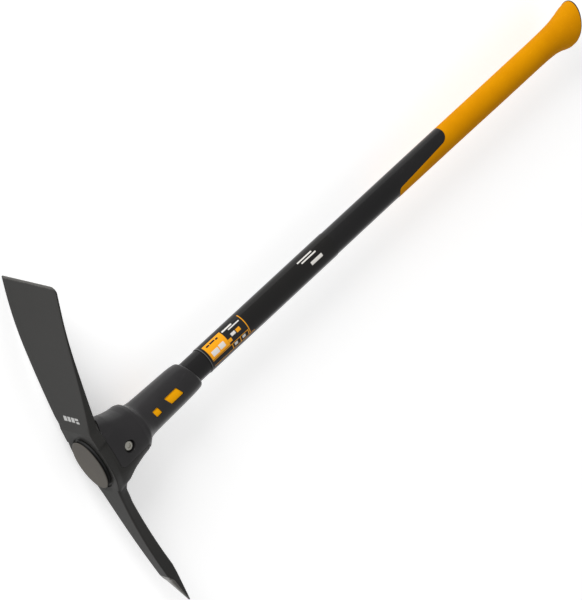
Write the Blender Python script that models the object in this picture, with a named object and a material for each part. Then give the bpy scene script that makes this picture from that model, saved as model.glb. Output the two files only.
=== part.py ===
"""Pick mattock: forged head with an adze and a pick, on a two-layer insulated handle.

Frame: +X runs along the handle from the head to the butt, +Y towards the adze blade, +Z across the
blade towards the side with the screw's head. The origin is the centre of the eye cap's outer face.
Metres throughout.
"""

import math

import bmesh
import bpy
from mathutils import Matrix, Vector

# Fits
GAP = 0.0003                    # clearance wherever two pieces meet
SEGMENTS = 40                   # facets round the handle and the eye

# Head: the forging's barrel, adze and pick, with front faces measured along X
HEAD_FACE = 0.0056              # front of the barrel
BARREL_FRONT = (0.0170, 0.0140) # wall of the barrel round the eye there
BARREL_FLARE = 0.0110           # the barrel flares over this length behind its front
BARREL_SQUARENESS = 2.4
SEAT_DEPTH = 0.0019             # the cap's seat, sunk into the front
SEAT_CLEARANCE = 0.0022         # room round the cap in it
SOCKET_LENGTH = 0.0645          # from the seat to the socket's end, under the boot
ADZE_REACH = 0.2390             # from the handle's axis to the cutting edge
ADZE_HALF_WIDTH = 0.0528        # half of the cutting edge
ADZE_ROOT = 0.0480              # where the straight part of the blade starts
ADZE_ROOT_DROP = 0.0003         # its front face there, behind the barrel's
ADZE_BEND = 0.1450              # where the blade starts to curve in
ADZE_SLOPE = 0.196              # lean of the straight part towards the handle
ADZE_EDGE_SLOPE = 0.330         # lean at the cutting edge
ADZE_ROOT_HALF_WIDTH = 0.0306
ADZE_JOIN_HALF_WIDTH = 0.0326   # where the blade's sides run out on the barrel
ADZE_JOIN = 0.0260              # how far from the axis that is
ADZE_THICKNESS = 0.0023         # near the edge
ADZE_ROOT_THICKNESS = 0.0134    # at the root
ADZE_THINNED = 0.0360           # the blade is down to its edge thickness this far from the edge
ADZE_CORNER = 0.0004            # broken corners along the blade
EDGE_THICKNESS = 0.0010         # of the ground edge itself
EDGE_BEVEL = 0.0070             # length of the ground edge
EDGE_CORNER = 0.0055            # rounding of the blade's corners
PICK_REACH = 0.2340             # from the handle's axis to the point
PICK_TIP_DROP = 0.0194          # the point, behind the front of the barrel
PICK_STRAIGHT = 0.0700          # where the pick starts to curve in
PICK_CURVE = 1.060              # radius of the front face
PICK_THICKNESS = 0.0156         # behind the root
PICK_END_THICKNESS = 0.0168     # and where the ground point starts
PICK_ROOT_THICKNESS = 0.0170
PICK_ROOT = 0.0520              # where the pick's own section starts
PICK_ROOT_HALF_WIDTH = 0.0197
PICK_JOIN_HALF_WIDTH = 0.0238   # where its sides run out on the barrel
PICK_JOIN_THICKNESS = 0.0310
PICK_JOIN = 0.0300              # how far from the axis that is
PICK_BLEND = 0.0200             # the root thins to the pick's own thickness over this length
PICK_TAPER = 1.8                # exponent of the sides' taper
PICK_FILLET = 1.5               # exponent of the curve that runs the back into the barrel
PICK_END_HALF_WIDTH = 0.0096
PICK_POINT_LENGTH = 0.0436      # length of the ground point
PICK_BACK_LENGTH = 0.0570       # the same on its back face
PICK_TIP_SIZE = (0.0018, 0.0014)    # thickness and half width of the point
PICK_BACK_SHARE = 0.62          # width of the back face against the front face
PICK_CORNER = 0.0012            # broken corners along the pick
CORNER_LIMIT = 0.3              # most that a broken corner takes of a section's side

# Eye: a tapered oval, wide at the front
EYE_FRONT = (0.0298, 0.0205)    # half sizes along Y and Z at the seat
EYE_BACK = (0.0256, 0.0168)     # at the end of the socket
LINER_WALL = 0.0017

# Cap over the eye
CAP_OVERHANG = (0.0048, 0.0045) # how far the cap reaches past the eye
CAP_THICKNESS = 0.0032
CAP_ROUND = 0.0008
CAP_STEM = (0.0150, 0.0085)
CAP_STEM_LENGTH = 0.0180
RING_INSET = 0.0011             # the black ring lies this far inside the cap's rim

# Boot of the collar: wall of metal and boot outside the eye along Y and Z, and squareness, at the
# seat and then at distances from the socket's end
BOOT_FRONT = (0.0168, 0.0100, 2.40)
BOOT_OUTLINE = (
    (-0.0340, 0.0138, 0.0116, 2.40),
    (-0.0200, 0.0106, 0.0120, 2.35),
    (-0.0100, 0.0087, 0.0121, 2.30),
    (-0.0015, 0.0085, 0.0120, 2.25),
    (0.0032, 0.0073, 0.0112, 2.20),
)
BOOT_RIM = 0.0215               # edge of the boot on the flat sides
BOOT_RIM_RISE = 0.0125          # how much further it lies on the adze side
BOOT_RIM_SPREAD = 6             # how sharply it rises there
BOOT_WALL = (0.0040, 0.0064)    # thickness along Y and Z
NOTCH_SIDE = 0.0185             # the boot is open on the pick side beyond this
NOTCH_PAST = 0.0028             # and as far as this past the socket's end
NOTCH_ROUND = 0.0055

# Sleeve of the collar: distance from the socket's end, and how far it stands off the shaft
SLEEVE_OUTLINE = (
    (0.0060, 0.0124, 0.0105, 2.10),
    (0.0092, 0.0095, 0.0083, 2.05),
    (0.0134, 0.0086, 0.0075, 2.00),
    (0.0200, 0.0080, 0.0071, 2.00),
    (0.0500, 0.0072, 0.0065, 2.00),
    (0.0800, 0.0063, 0.0058, 2.00),
    (0.0900, 0.0057, 0.0053, 2.00),
    (0.0955, 0.0051, 0.0048, 2.00),
    (0.1000, 0.0042, 0.0041, 2.00),
    (0.1022, 0.0023, 0.0024, 2.00),
)
MOUTH_TILT = -15.5              # lean of the sleeve's mouth, in degrees
MOUTH_TILT_LENGTH = 0.0222      # the lean grows over this length
NECK_LENGTH = 0.0159            # the sleeve fits the shaft closely this far inside its mouth

# Insulation sleeve and its windows
INSULATION_WALL = 0.0025
PAD_DEPTH = 0.0013              # pads lie this far below the sleeve's surface
WINDOW_SIDE = 0.0037            # centre of the windows, towards the adze
LARGE_WINDOW = (0.0605, 0.0215, 0.0125, 0.0056)    # centre past the socket, length, width, slant
SMALL_WINDOW = (0.0298, 0.0095, 0.0100, 0.0022)

# Cross screw
SCREW_X = 0.0445
SCREW_RADIUS = 0.0040
SCREW_TIP_BEVEL = 0.0006
SCREW_HEAD_RIM = 0.0023         # width of the head outside the shank
SCREW_HEAD_HEIGHT = 0.0024
SCREW_DOME = 0.30               # share of the radius that the domed head closes in by
SCREW_SOCKET = 0.0025           # half of the hexagon across its flats
SCREW_SOCKET_DEPTH = 0.0015
RECESS_CLEARANCE = 0.0015       # room round the screw's head
RECESS_FLOOR = 0.0014           # boot wall left under the recess
NUT_RIM = 0.0025                # from the shank to the nut's flats
NUT_HEIGHT = 0.0040
BUSH_WALL = 0.0013

# Handle
SHAFT = (0.0170, 0.0151)        # half sizes of the outer tube
SHAFT_WALL = 0.0032
SHAFT_PAST_SOCKET = 0.0050      # where the tube starts
CORE = (0.0105, 0.0087)
CORE_NECK = 0.0140              # the core starts to narrow this far before the socket's end
CORE_NECK_END = 0.0035          # and fits the tube from here past it
CORE_SHOULDER = 0.0100
FILM_PAST_MOUTH = 0.0250
FILM_TO_TONGUE = 0.1206         # from the film's end to the grip's tongue
FILM_WALL = 0.0003

# Butt: the overall length, and the leaning face of its cap
BUTT_X = 0.9155                 # centre of the butt cap's face
BUTT_Y = -0.0020
BUTT_TILT = 27.3                # lean of the butt's face, in degrees
BUTT_FLARE = (0.0082, 0.0063)   # how far the butt stands off the shaft
BUTT_CAP_THICKNESS = 0.0020
BUTT_CAP_ROUND = 0.0008
CAP_PEG = (0.0060, 0.0060)
CAP_PEG_LENGTH = 0.0100
SHAFT_TO_BUTT = 0.0415          # from the tube's end
CORE_TO_SHAFT_END = 0.0320      # from the core's end to the tube's
SPIGOT_LENGTH = 0.0270          # of the plug in the tube

# Grip: distance to the butt, offset along Y, lean, and how far each section stands off the shaft
GRIP_OUTLINE = (
    (0.3835, 0.0000, 0.0, 0.0003, 0.0002),
    (0.2635, -0.0004, 0.0, 0.0003, 0.0002),
    (0.1535, -0.0010, 0.0, 0.0006, 0.0005),
    (0.0735, -0.0012, 0.0, 0.0008, 0.0007),
    (0.0507, -0.0015, 6.0, 0.0014, 0.0012),
    (0.0337, -0.0023, 13.5, 0.0031, 0.0024),
    (0.0207, -0.0028, 20.0, 0.0060, 0.0041),
    (0.0097, -0.0024, 25.0, 0.0083, 0.0058),
)
GRIP_SEAT = 0.0018              # depth that the grip is let into the tube
GRIP_LENGTH = 0.2615            # from the butt to the grip's front on the far side
TONGUE_LENGTH = 0.1014          # its tongue reaches this far past that
TONGUE_SIDE = (0.0034, -0.0024) # edge of the tongue at its root and near its tip
TONGUE_ROUND = (0.0135, 0.0060)
KNOB_WALL = 0.0032

# Places that follow from the sizes above
SEAT_FLOOR = HEAD_FACE + SEAT_DEPTH
SOCKET_END = SEAT_FLOOR + SOCKET_LENGTH
NOTCH_END = SOCKET_END + NOTCH_PAST
MOUTH = SOCKET_END + SLEEVE_OUTLINE[-1][0]
NECK_START = MOUTH - NECK_LENGTH
SHAFT_START = SOCKET_END + SHAFT_PAST_SOCKET
SHAFT_END = BUTT_X - SHAFT_TO_BUTT
CORE_END = SHAFT_END - CORE_TO_SHAFT_END
GRIP_FRONT = BUTT_X - GRIP_LENGTH
TONGUE_TIP = GRIP_FRONT - TONGUE_LENGTH
SCREW_HEAD_RADIUS = SCREW_RADIUS + SCREW_HEAD_RIM
NUT_HALF_FLATS = SCREW_RADIUS + NUT_RIM
BEYOND = 0.05                   # cutters reach at least this far outside what they cut
CLEAR = 0.004                   # and a cutter that follows a surface stands this far off it
STUB = (0.002, 0.002)           # closes a ring-shaped cutter on the handle's axis

def clear_scene():
    for old in list(bpy.data.objects):
        bpy.data.objects.remove(old, do_unlink=True)


def material(name, colour, roughness, metallic=0.0):
    """One Principled material, named for its finish."""
    made = bpy.data.materials.get(name) or bpy.data.materials.new(name)
    made.use_nodes = True
    shader = made.node_tree.nodes["Principled BSDF"]
    shader.inputs["Base Color"].default_value = (*colour, 1.0)
    shader.inputs["Roughness"].default_value = roughness
    shader.inputs["Metallic"].default_value = metallic
    return made


def object_from(name, bm, finish=None, sharp=35.0):
    """Puts a bmesh in a new object under the mattock's empty, shaded smooth up to the sharp angle."""
    bmesh.ops.recalc_face_normals(bm, faces=bm.faces)
    mesh = bpy.data.meshes.new(name)
    bm.to_mesh(mesh)
    bm.free()
    mesh.shade_smooth()
    mesh.set_sharp_from_angle(angle=math.radians(sharp))
    made = bpy.data.objects.new(name, mesh)
    bpy.context.scene.collection.objects.link(made)
    made.parent = bpy.data.objects["mattock"]
    if finish:
        mesh.materials.append(finish)
    return made


def helper(name, bm):
    """A cutter or a shape to join: left out of the model itself."""
    made = object_from(name, bm)
    made.hide_render = True
    made.display_type = "WIRE"
    return made


def boolean(target, tool, operation="DIFFERENCE"):
    cut = target.modifiers.new(tool.name, "BOOLEAN")
    cut.operation = operation
    cut.solver = "EXACT"
    cut.object = tool


def oval(x, half_y, half_z, power=2.0, y=0.0, tilt=0.0, rise=0.0):
    """A ring of points round the handle: a superellipse of half sizes half_y and half_z in a plane
    at x. The plane leans by tilt degrees about Z, and rise lifts the ring on the adze side."""
    ring = []
    for step in range(SEGMENTS):
        angle = 2.0 * math.pi * step / SEGMENTS
        across = math.cos(angle)
        up = math.sin(angle)
        side = half_y * math.copysign(abs(across) ** (2.0 / power), across)
        height = half_z * math.copysign(abs(up) ** (2.0 / power), up)
        lean = math.tan(math.radians(tilt)) * side
        lift = rise * max(0.0, across) ** BOOT_RIM_SPREAD
        ring.append(Vector((x + lean + lift, y + side, height)))
    return ring


def loft(rings, closed=False):
    """A skin over rings of equal length. Open lofts are capped; a closed one joins its last ring to
    its first, which makes a tube."""
    bm = bmesh.new()
    rows = [[bm.verts.new(point) for point in ring] for ring in rings]
    pairs = list(zip(rows, rows[1:]))
    if closed:
        pairs.append((rows[-1], rows[0]))
    for low, high in pairs:
        for k in range(len(low)):
            after = (k + 1) % len(low)
            bm.faces.new((low[k], low[after], high[after], high[k]))
    if not closed:
        bm.faces.new(rows[0])
        bm.faces.new(rows[-1])
    return bm


def prism(outline, low, high):
    """An outline in X and Y, extruded along Z from low to high."""
    return loft([[Vector((x, y, z)) for x, y in outline] for z in (low, high)])


def arc(centre, radius, start, end, steps=6):
    """Points of an arc in X and Y, with its angles in degrees."""
    points = []
    for step in range(steps + 1):
        angle = math.radians(start + (end - start) * step / steps)
        points.append((centre[0] + radius * math.cos(angle), centre[1] + radius * math.sin(angle)))
    return points


def drum(radius, low, high, sides=24, turn=0.0):
    """A cylinder or regular prism along Z; radius reaches its corners."""
    bm = bmesh.new()
    bmesh.ops.create_cone(
        bm,
        cap_ends=True,
        segments=sides,
        radius1=radius,
        radius2=radius,
        depth=high - low,
        matrix=Matrix.Translation((0, 0, (low + high) / 2)) @ Matrix.Rotation(turn, 4, "Z"),
    )
    return bm


def hexagon_corner(half_flats):
    return half_flats / math.cos(math.pi / 6)


def grown(size, by):
    """Half sizes with the same amount added to each."""
    return [half + by for half in size]


def plus(size, more):
    """Half sizes with an amount of its own added to each."""
    return [half + extra for half, extra in zip(size, more)]


def between(table, x):
    """The values of a table at x, in a straight line between its rows."""
    for low, high in zip(table, table[1:]):
        if x <= high[0]:
            share = (x - low[0]) / (high[0] - low[0])
            return [a + (b - a) * share for a, b in zip(low[1:], high[1:])]
    return list(table[-1][1:])


def eye_size(x, inset=0.0):
    """Half sizes of the tapered eye at x."""
    share = (x - SEAT_FLOOR) / SOCKET_LENGTH
    return [front + (back - front) * share - inset for front, back in zip(EYE_FRONT, EYE_BACK)]


def collar_outline():
    """Rows of place, half sizes and squareness: the boot stands off the eye, the sleeve off the shaft."""
    rows = [(SEAT_FLOOR, *plus(EYE_FRONT, BOOT_FRONT), BOOT_FRONT[2])]
    for past, wall_y, wall_z, power in BOOT_OUTLINE:
        x = SOCKET_END + past
        rows.append((x, *plus(eye_size(x), (wall_y, wall_z)), power))
    for past, off_y, off_z, power in SLEEVE_OUTLINE:
        rows.append((SOCKET_END + past, *plus(SHAFT, (off_y, off_z)), power))
    return rows


def collar_ring(x, inset=(0.0, 0.0), rise=0.0):
    """A ring of the collar's outer shape at x, moved in by inset along Y and Z."""
    half_y, half_z, power = between(collar_outline(), x)
    past = max(0.0, x - MOUTH + MOUTH_TILT_LENGTH) / MOUTH_TILT_LENGTH
    return oval(x, half_y - inset[0], half_z - inset[1], power, tilt=MOUTH_TILT * past, rise=rise)


def boot_places():
    """Places of the boot's rings between its rim and the socket's end."""
    return [SOCKET_END + past for past, *_ in BOOT_OUTLINE[:3]]


def cap_size():
    return plus(EYE_FRONT, CAP_OVERHANG)


def notch_outline(gap):
    """The boot's opening on the pick side, seen along Z, smaller by gap all round."""
    side = -NOTCH_SIDE - gap
    end = NOTCH_END - gap
    low_round = NOTCH_ROUND + gap
    end_round = NOTCH_ROUND - gap
    low_x = BOOT_RIM - gap + low_round
    outline = [(HEAD_FACE - BEYOND, side - BEYOND), (end, side - BEYOND)]
    outline += arc((end - end_round, side - end_round), end_round, 0, 90)
    outline += arc((low_x, side + low_round), low_round, 270, 180)
    outline.append((HEAD_FACE - BEYOND, side + low_round))
    return outline


def adze_front(y):
    """Front face of the blade: straight from its root, then curving in to the edge."""
    straight = HEAD_FACE + ADZE_ROOT_DROP + ADZE_SLOPE * (min(y, ADZE_BEND) - ADZE_ROOT)
    past = max(0.0, y - ADZE_BEND)
    bend = (ADZE_EDGE_SLOPE - ADZE_SLOPE) / (2.0 * (ADZE_REACH - ADZE_BEND))
    return straight + ADZE_SLOPE * past + bend * past**2


def adze_half_width(y):
    """Half width of the blade: full at the edge, narrowing with the square of the distance."""
    away = (ADZE_REACH - y) / (ADZE_REACH - ADZE_ROOT)
    return ADZE_HALF_WIDTH - (ADZE_HALF_WIDTH - ADZE_ROOT_HALF_WIDTH) * away**2


def adze_thickness(y):
    """Thickness of the blade, growing with the square of the distance from where it is thin."""
    thin = ADZE_REACH - ADZE_THINNED
    away = max(0.0, (thin - y) / (thin - ADZE_ROOT))
    return ADZE_THICKNESS + (ADZE_ROOT_THICKNESS - ADZE_THICKNESS) * away**2


def section(y, front, thickness, half_width, back_half_width, corner):
    """A blade section in a plane across Y, from its front face to its back face, with broken corners."""
    back = front + thickness
    corner = min(corner, CORNER_LIMIT * back_half_width, CORNER_LIMIT * thickness)
    points = [
        (front, -half_width + corner), (front + corner, -half_width),
        (back - corner, -back_half_width), (back, -back_half_width + corner),
        (back, back_half_width - corner), (back - corner, back_half_width),
        (front + corner, half_width), (front, half_width - corner),
    ]
    return [Vector((x, y, z)) for x, z in points]


def adze_section(y, front, thickness, half_width, corner=ADZE_CORNER):
    return section(y, front, thickness, half_width, half_width, corner)


def adze_blade():
    """The blade from inside the barrel to its ground edge."""
    rings = [adze_section(ADZE_JOIN, HEAD_FACE, ADZE_ROOT_THICKNESS, ADZE_JOIN_HALF_WIDTH)]
    steps = 12
    bevel_start = ADZE_REACH - EDGE_BEVEL
    for step in range(steps + 1):
        y = ADZE_ROOT + (bevel_start - ADZE_ROOT) * step / steps
        rings.append(adze_section(y, adze_front(y), adze_thickness(y), adze_half_width(y)))
    for share in (0.45, 0.8, 1.0):
        y = bevel_start + EDGE_BEVEL * share
        thin = ADZE_THICKNESS + (EDGE_THICKNESS - ADZE_THICKNESS) * share
        rounding = EDGE_CORNER * (1.0 - math.sqrt(1.0 - share**2))
        rings.append(adze_section(y, adze_front(y), thin, ADZE_HALF_WIDTH - rounding))
    return loft(rings)


def pick_arc(reach):
    """Front face of the pick at a distance from the axis: level, then an arc towards the handle."""
    past = max(0.0, reach - PICK_STRAIGHT)
    return HEAD_FACE + PICK_CURVE - math.sqrt(PICK_CURVE**2 - past**2)


def pick_front(reach):
    """The same with the ground point: a flat from where the point starts to its tip."""
    start = PICK_REACH - PICK_POINT_LENGTH
    share = max(0.0, reach - start) / PICK_POINT_LENGTH
    tip = HEAD_FACE + PICK_TIP_DROP
    return pick_arc(min(reach, start)) + (tip - pick_arc(start)) * share


def pick_thickness(reach):
    """Thick at the root, then nearly level, then ground down on the back to the tip."""
    if reach < PICK_ROOT:
        share = (PICK_ROOT - reach) / (PICK_ROOT - PICK_JOIN)
        return PICK_ROOT_THICKNESS + (PICK_JOIN_THICKNESS - PICK_ROOT_THICKNESS) * share**PICK_FILLET
    if reach < PICK_ROOT + PICK_BLEND:
        share = 1.0 - (reach - PICK_ROOT) / PICK_BLEND
        return PICK_THICKNESS + (PICK_ROOT_THICKNESS - PICK_THICKNESS) * share
    start = PICK_REACH - PICK_BACK_LENGTH
    if reach < start:
        share = (reach - PICK_ROOT - PICK_BLEND) / (start - PICK_ROOT - PICK_BLEND)
        return PICK_THICKNESS + (PICK_END_THICKNESS - PICK_THICKNESS) * share
    share = (reach - start) / PICK_BACK_LENGTH
    back_start = pick_arc(start) + PICK_END_THICKNESS
    back_tip = HEAD_FACE + PICK_TIP_DROP + PICK_TIP_SIZE[0]
    return back_start + (back_tip - back_start) * share - pick_front(reach)


def pick_half_width(reach):
    """Sides that run in from the barrel, taper along the pick, and close at the ground point."""
    if reach < PICK_ROOT:
        share = (PICK_ROOT - reach) / (PICK_ROOT - PICK_JOIN)
        return PICK_ROOT_HALF_WIDTH + (PICK_JOIN_HALF_WIDTH - PICK_ROOT_HALF_WIDTH) * share
    start = PICK_REACH - PICK_POINT_LENGTH
    if reach < start:
        share = (start - reach) / (start - PICK_ROOT)
        return PICK_END_HALF_WIDTH + (PICK_ROOT_HALF_WIDTH - PICK_END_HALF_WIDTH) * share**PICK_TAPER
    share = (reach - start) / PICK_POINT_LENGTH
    return PICK_END_HALF_WIDTH + (PICK_TIP_SIZE[1] - PICK_END_HALF_WIDTH) * share


def pick_arm():
    """The pick from inside the barrel to its point."""
    back_start = PICK_REACH - PICK_BACK_LENGTH
    reaches = [PICK_JOIN, (PICK_JOIN + PICK_ROOT) / 2]
    steps = 9
    reaches += [PICK_ROOT + (back_start - PICK_ROOT) * step / steps for step in range(steps + 1)]
    reaches.append(PICK_REACH - PICK_POINT_LENGTH)
    reaches += [PICK_REACH - PICK_POINT_LENGTH / 2, PICK_REACH]
    rings = []
    for reach in reaches:
        wide = pick_half_width(reach)
        thick = pick_thickness(reach)
        rings.append(section(-reach, pick_front(reach), thick, wide, PICK_BACK_SHARE * wide, PICK_CORNER))
    return loft(rings)


def barrel():
    """The barrel, flared at its front, along the collar's outline to the end of the boot's notch."""
    front = oval(HEAD_FACE, *plus(EYE_FRONT, BARREL_FRONT), BARREL_SQUARENESS)
    xs = [HEAD_FACE + BARREL_FLARE, *boot_places(), NOTCH_END - GAP]
    return loft([front] + [collar_ring(x) for x in xs])


def boot_relief():
    """What the boot takes from the barrel: a shell along the collar's outline, open at the notch."""
    cover = grown(BOOT_WALL, 2 * GAP)
    outside = (-CLEAR, -CLEAR)
    rim = BOOT_RIM - GAP
    past_end = NOTCH_END + CLEAR
    inner = [collar_ring(rim, cover, BOOT_RIM_RISE)]
    inner += [collar_ring(x, cover) for x in (*boot_places(), SOCKET_END)]
    inner += [oval(SOCKET_END, *STUB), oval(past_end, *STUB)]
    outer = [collar_ring(past_end, (-3 * CLEAR, -3 * CLEAR))]
    outer += [collar_ring(x, outside) for x in reversed(boot_places())]
    outer.append(collar_ring(rim, outside, BOOT_RIM_RISE))
    relief = helper("boot_relief", loft(inner + outer, closed=True))
    boolean(relief, helper("notch_fill", prism(notch_outline(GAP), -BEYOND, BEYOND)))
    return relief


def head_forging(steel):
    """Barrel with adze and pick joined on, with the boot's relief, the cap's seat and the eye cut."""
    head = object_from("head_forging", barrel(), steel, 30.0)
    boolean(head, helper("adze_blade", adze_blade()), "UNION")
    boolean(head, helper("pick_arm", pick_arm()), "UNION")
    boolean(head, boot_relief())
    seat = [oval(x, *grown(cap_size(), SEAT_CLEARANCE)) for x in (HEAD_FACE - BEYOND, SEAT_FLOOR)]
    boolean(head, helper("cap_seat", loft(seat)))
    eye = [oval(x, *eye_size(x)) for x in (HEAD_FACE - CLEAR, NOTCH_END + CLEAR)]
    boolean(head, helper("eye_hole", loft(eye)))
    cross = helper("head_cross_hole", drum(SCREW_RADIUS + 2 * GAP, -BEYOND, BEYOND))
    cross.location.x = SCREW_X
    boolean(head, cross)
    return head


def tube(x_low, x_high, outer, inner):
    """A straight oval tube."""
    return loft([oval(x_low, *outer), oval(x_high, *outer), oval(x_high, *inner), oval(x_low, *inner)], True)


def rounded_rim(size, radius, sense=1.0):
    """Rings from a flat face at 0 round its rim to the full size. Sense -1 turns it to face +X."""
    rings = []
    for angle in (90.0, 45.0, 0.0):
        drop = radius * (1.0 - math.sin(math.radians(angle)))
        inset = radius * (1.0 - math.cos(math.radians(angle)))
        rings.append(oval(sense * drop, *grown(size, -inset)))
    return rings


def eye_cap(finish):
    """Oval disc with a rounded rim, and a flat stem let into the core."""
    rings = rounded_rim(cap_size(), CAP_ROUND)
    rings += [
        oval(CAP_THICKNESS, *cap_size()),
        oval(CAP_THICKNESS, *CAP_STEM),
        oval(CAP_THICKNESS + CAP_STEM_LENGTH, *CAP_STEM),
    ]
    return object_from("eye_cap", loft(rings), finish)


def cap_ring(finish):
    """Black ring between the cap and the forging."""
    outer = grown(cap_size(), -RING_INSET)
    inner = eye_size(SEAT_FLOOR, LINER_WALL)
    return object_from("cap_ring", tube(CAP_THICKNESS + GAP, SEAT_FLOOR - GAP, outer, inner), finish)


def core_rows():
    """Half sizes of the core along the handle: the eye's taper, a neck, then a plain rod."""
    start = CAP_THICKNESS + GAP
    inset = LINER_WALL + 2 * GAP
    rows = [(x, *eye_size(x, inset)) for x in (start, SOCKET_END - CORE_NECK)]
    rows.append((SOCKET_END + CORE_NECK_END, *grown(SHAFT, -SHAFT_WALL - GAP)))
    rows += [(SOCKET_END + CORE_SHOULDER, *CORE), (CORE_END, *CORE)]
    return rows


def bush_hole(name):
    hole = helper(name, drum(SCREW_RADIUS + 2 * GAP + BUSH_WALL, -BEYOND, BEYOND))
    hole.location.x = SCREW_X
    return hole


def handle_core(finish):
    core = object_from("handle_core", loft([oval(*row) for row in core_rows()]), finish)
    stem_end = CAP_THICKNESS + CAP_STEM_LENGTH + GAP
    stem = [oval(x, *grown(CAP_STEM, GAP)) for x in (-BEYOND, stem_end)]
    boolean(core, helper("cap_stem_hole", loft(stem)))
    boolean(core, bush_hole("core_cross_hole"))
    return core


def eye_liner(finish):
    """Tapered sleeve that fills the eye round the core."""
    rows = core_rows()
    outer = [oval(x, *eye_size(x, GAP)) for x in (SEAT_FLOOR, SOCKET_END)]
    places = (SOCKET_END, SOCKET_END - CORE_NECK, SEAT_FLOOR)
    inner = [oval(x, *grown(between(rows, x), GAP)) for x in places]
    liner = object_from("eye_liner", loft(outer + inner, closed=True), finish)
    boolean(liner, bush_hole("liner_cross_hole"))
    return liner


def core_bush(finish):
    """Steel bush that the cross screw runs in, through the core and the liner."""
    radius = SCREW_RADIUS + GAP + BUSH_WALL
    half_y, half_z = eye_size(SCREW_X + radius)
    reach = half_z * math.sqrt(1.0 - (radius / half_y) ** 2) - GAP
    bush = object_from("core_bush", drum(radius, -reach, reach), finish)
    boolean(bush, helper("bush_bore", drum(SCREW_RADIUS + GAP, -BEYOND, BEYOND)))
    for piece in (bush, bpy.data.objects["bush_bore"]):
        piece.location.x = SCREW_X
    return bush


def window_outline(window, gap=0.0):
    """A window seen along Z: straight sides along the handle, ends that slant back."""
    past, length, width, slant = window
    centre = SOCKET_END + past
    half_x = length / 2 - gap
    half_y = width / 2 - gap
    lean = slant / 2
    corners = [
        (half_x + lean, -half_y), (half_x - lean, half_y),
        (-half_x - lean, half_y), (-half_x + lean, -half_y),
    ]
    return [(centre + x, WINDOW_SIDE + y) for x, y in corners]


def insulation_size():
    return grown(SHAFT, GAP + INSULATION_WALL)


def insulation_sleeve(finish):
    """Sleeve on the shaft, with a pad standing into each of the collar's windows."""
    start = SHAFT_START + GAP
    end = NECK_START - GAP
    sleeve = object_from("insulation_sleeve", loft([oval(x, *insulation_size()) for x in (start, end)]), finish)
    places = [SOCKET_END + past for past, *_ in SLEEVE_OUTLINE]
    places = [x for x in places if x < end - 2 * GAP] + [end - GAP]
    limit = helper("pad_limit", loft([collar_ring(x, (PAD_DEPTH, PAD_DEPTH)) for x in places]))
    middle = SHAFT[1] - SHAFT_WALL
    for name, window in (("large", LARGE_WINDOW), ("small", SMALL_WINDOW)):
        for side, low, high in (("near", middle, BEYOND), ("far", -BEYOND, -middle)):
            pad = helper(f"pad_{name}_{side}", prism(window_outline(window, GAP), low, high))
            boolean(pad, limit, "INTERSECT")
            boolean(sleeve, pad, "UNION")
    bore = [oval(x, *grown(SHAFT, GAP)) for x in (start - BEYOND, end + BEYOND)]
    boolean(sleeve, helper("sleeve_bore", loft(bore)))
    return sleeve


def screw_floor():
    """Height of the recess's floor above the handle's axis."""
    half_z = between(collar_outline(), SCREW_X)[1]
    return half_z - BOOT_WALL[1] + RECESS_FLOOR


def collar(finish):
    """Boot and sleeve in one moulding: open towards the pick, with windows and screw recesses."""
    xs = [row[0] for row in collar_outline()[1:]]
    outer = [collar_ring(BOOT_RIM, rise=BOOT_RIM_RISE)] + [collar_ring(x) for x in xs]
    bore = grown(insulation_size(), GAP)
    neck = grown(SHAFT, GAP)
    cavity_end = SOCKET_END + GAP
    inner = [
        oval(MOUTH, *neck, tilt=MOUTH_TILT),
        oval(NECK_START, *neck),
        oval(NECK_START, *bore),
        oval(cavity_end, *bore),
    ]
    inner += [collar_ring(x, BOOT_WALL) for x in (cavity_end, *reversed(boot_places()))]
    inner.append(collar_ring(BOOT_RIM, BOOT_WALL, BOOT_RIM_RISE))
    body = object_from("collar", loft(outer + inner, closed=True), finish, 40.0)
    boolean(body, helper("boot_notch", prism(notch_outline(0.0), -BEYOND, BEYOND)))
    for name, window in (("large", LARGE_WINDOW), ("small", SMALL_WINDOW)):
        for side, low, high in (("near", SHAFT[1] / 2, BEYOND), ("far", -BEYOND, -SHAFT[1] / 2)):
            boolean(body, helper(f"window_{name}_{side}", prism(window_outline(window), low, high)))
    floor = screw_floor()
    recess = helper("screw_recess", drum(SCREW_HEAD_RADIUS + RECESS_CLEARANCE, floor, BEYOND))
    pocket = helper("nut_pocket", drum(hexagon_corner(NUT_HALF_FLATS + GAP), -BEYOND, -floor, 6))
    hole = helper("collar_cross_hole", drum(SCREW_RADIUS + GAP, -BEYOND, BEYOND))
    for cutter in (recess, pocket, hole):
        cutter.location.x = SCREW_X
        boolean(body, cutter)
    return body


def turned(profile, sides=24):
    """A solid turned about Z from pairs of radius and height."""
    rings = []
    for radius, height in profile:
        angles = [2.0 * math.pi * step / sides for step in range(sides)]
        rings.append([Vector((radius * math.cos(a), radius * math.sin(a), height)) for a in angles])
    return loft(rings)


def collar_screw(finish):
    """Button-head screw across the boot, with a hexagon socket."""
    seat = screw_floor() + GAP
    top = seat + SCREW_HEAD_HEIGHT
    tip = -seat - NUT_HEIGHT + 2 * GAP
    bevel = SCREW_TIP_BEVEL
    profile = [(SCREW_RADIUS - bevel, tip), (SCREW_RADIUS, tip + bevel), (SCREW_RADIUS, seat)]
    profile.append((SCREW_HEAD_RADIUS, seat))
    for share in (0.25, 0.6, 0.9, 1.0):
        radius = SCREW_HEAD_RADIUS * (1.0 - SCREW_DOME * share**3)
        profile.append((radius, seat + SCREW_HEAD_HEIGHT * share))
    screw = object_from("collar_screw", turned(profile), finish)
    socket = helper("screw_socket", drum(hexagon_corner(SCREW_SOCKET), top - SCREW_SOCKET_DEPTH, BEYOND, 6))
    boolean(screw, socket)
    for piece in (screw, socket):
        piece.location.x = SCREW_X
    return screw


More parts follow.
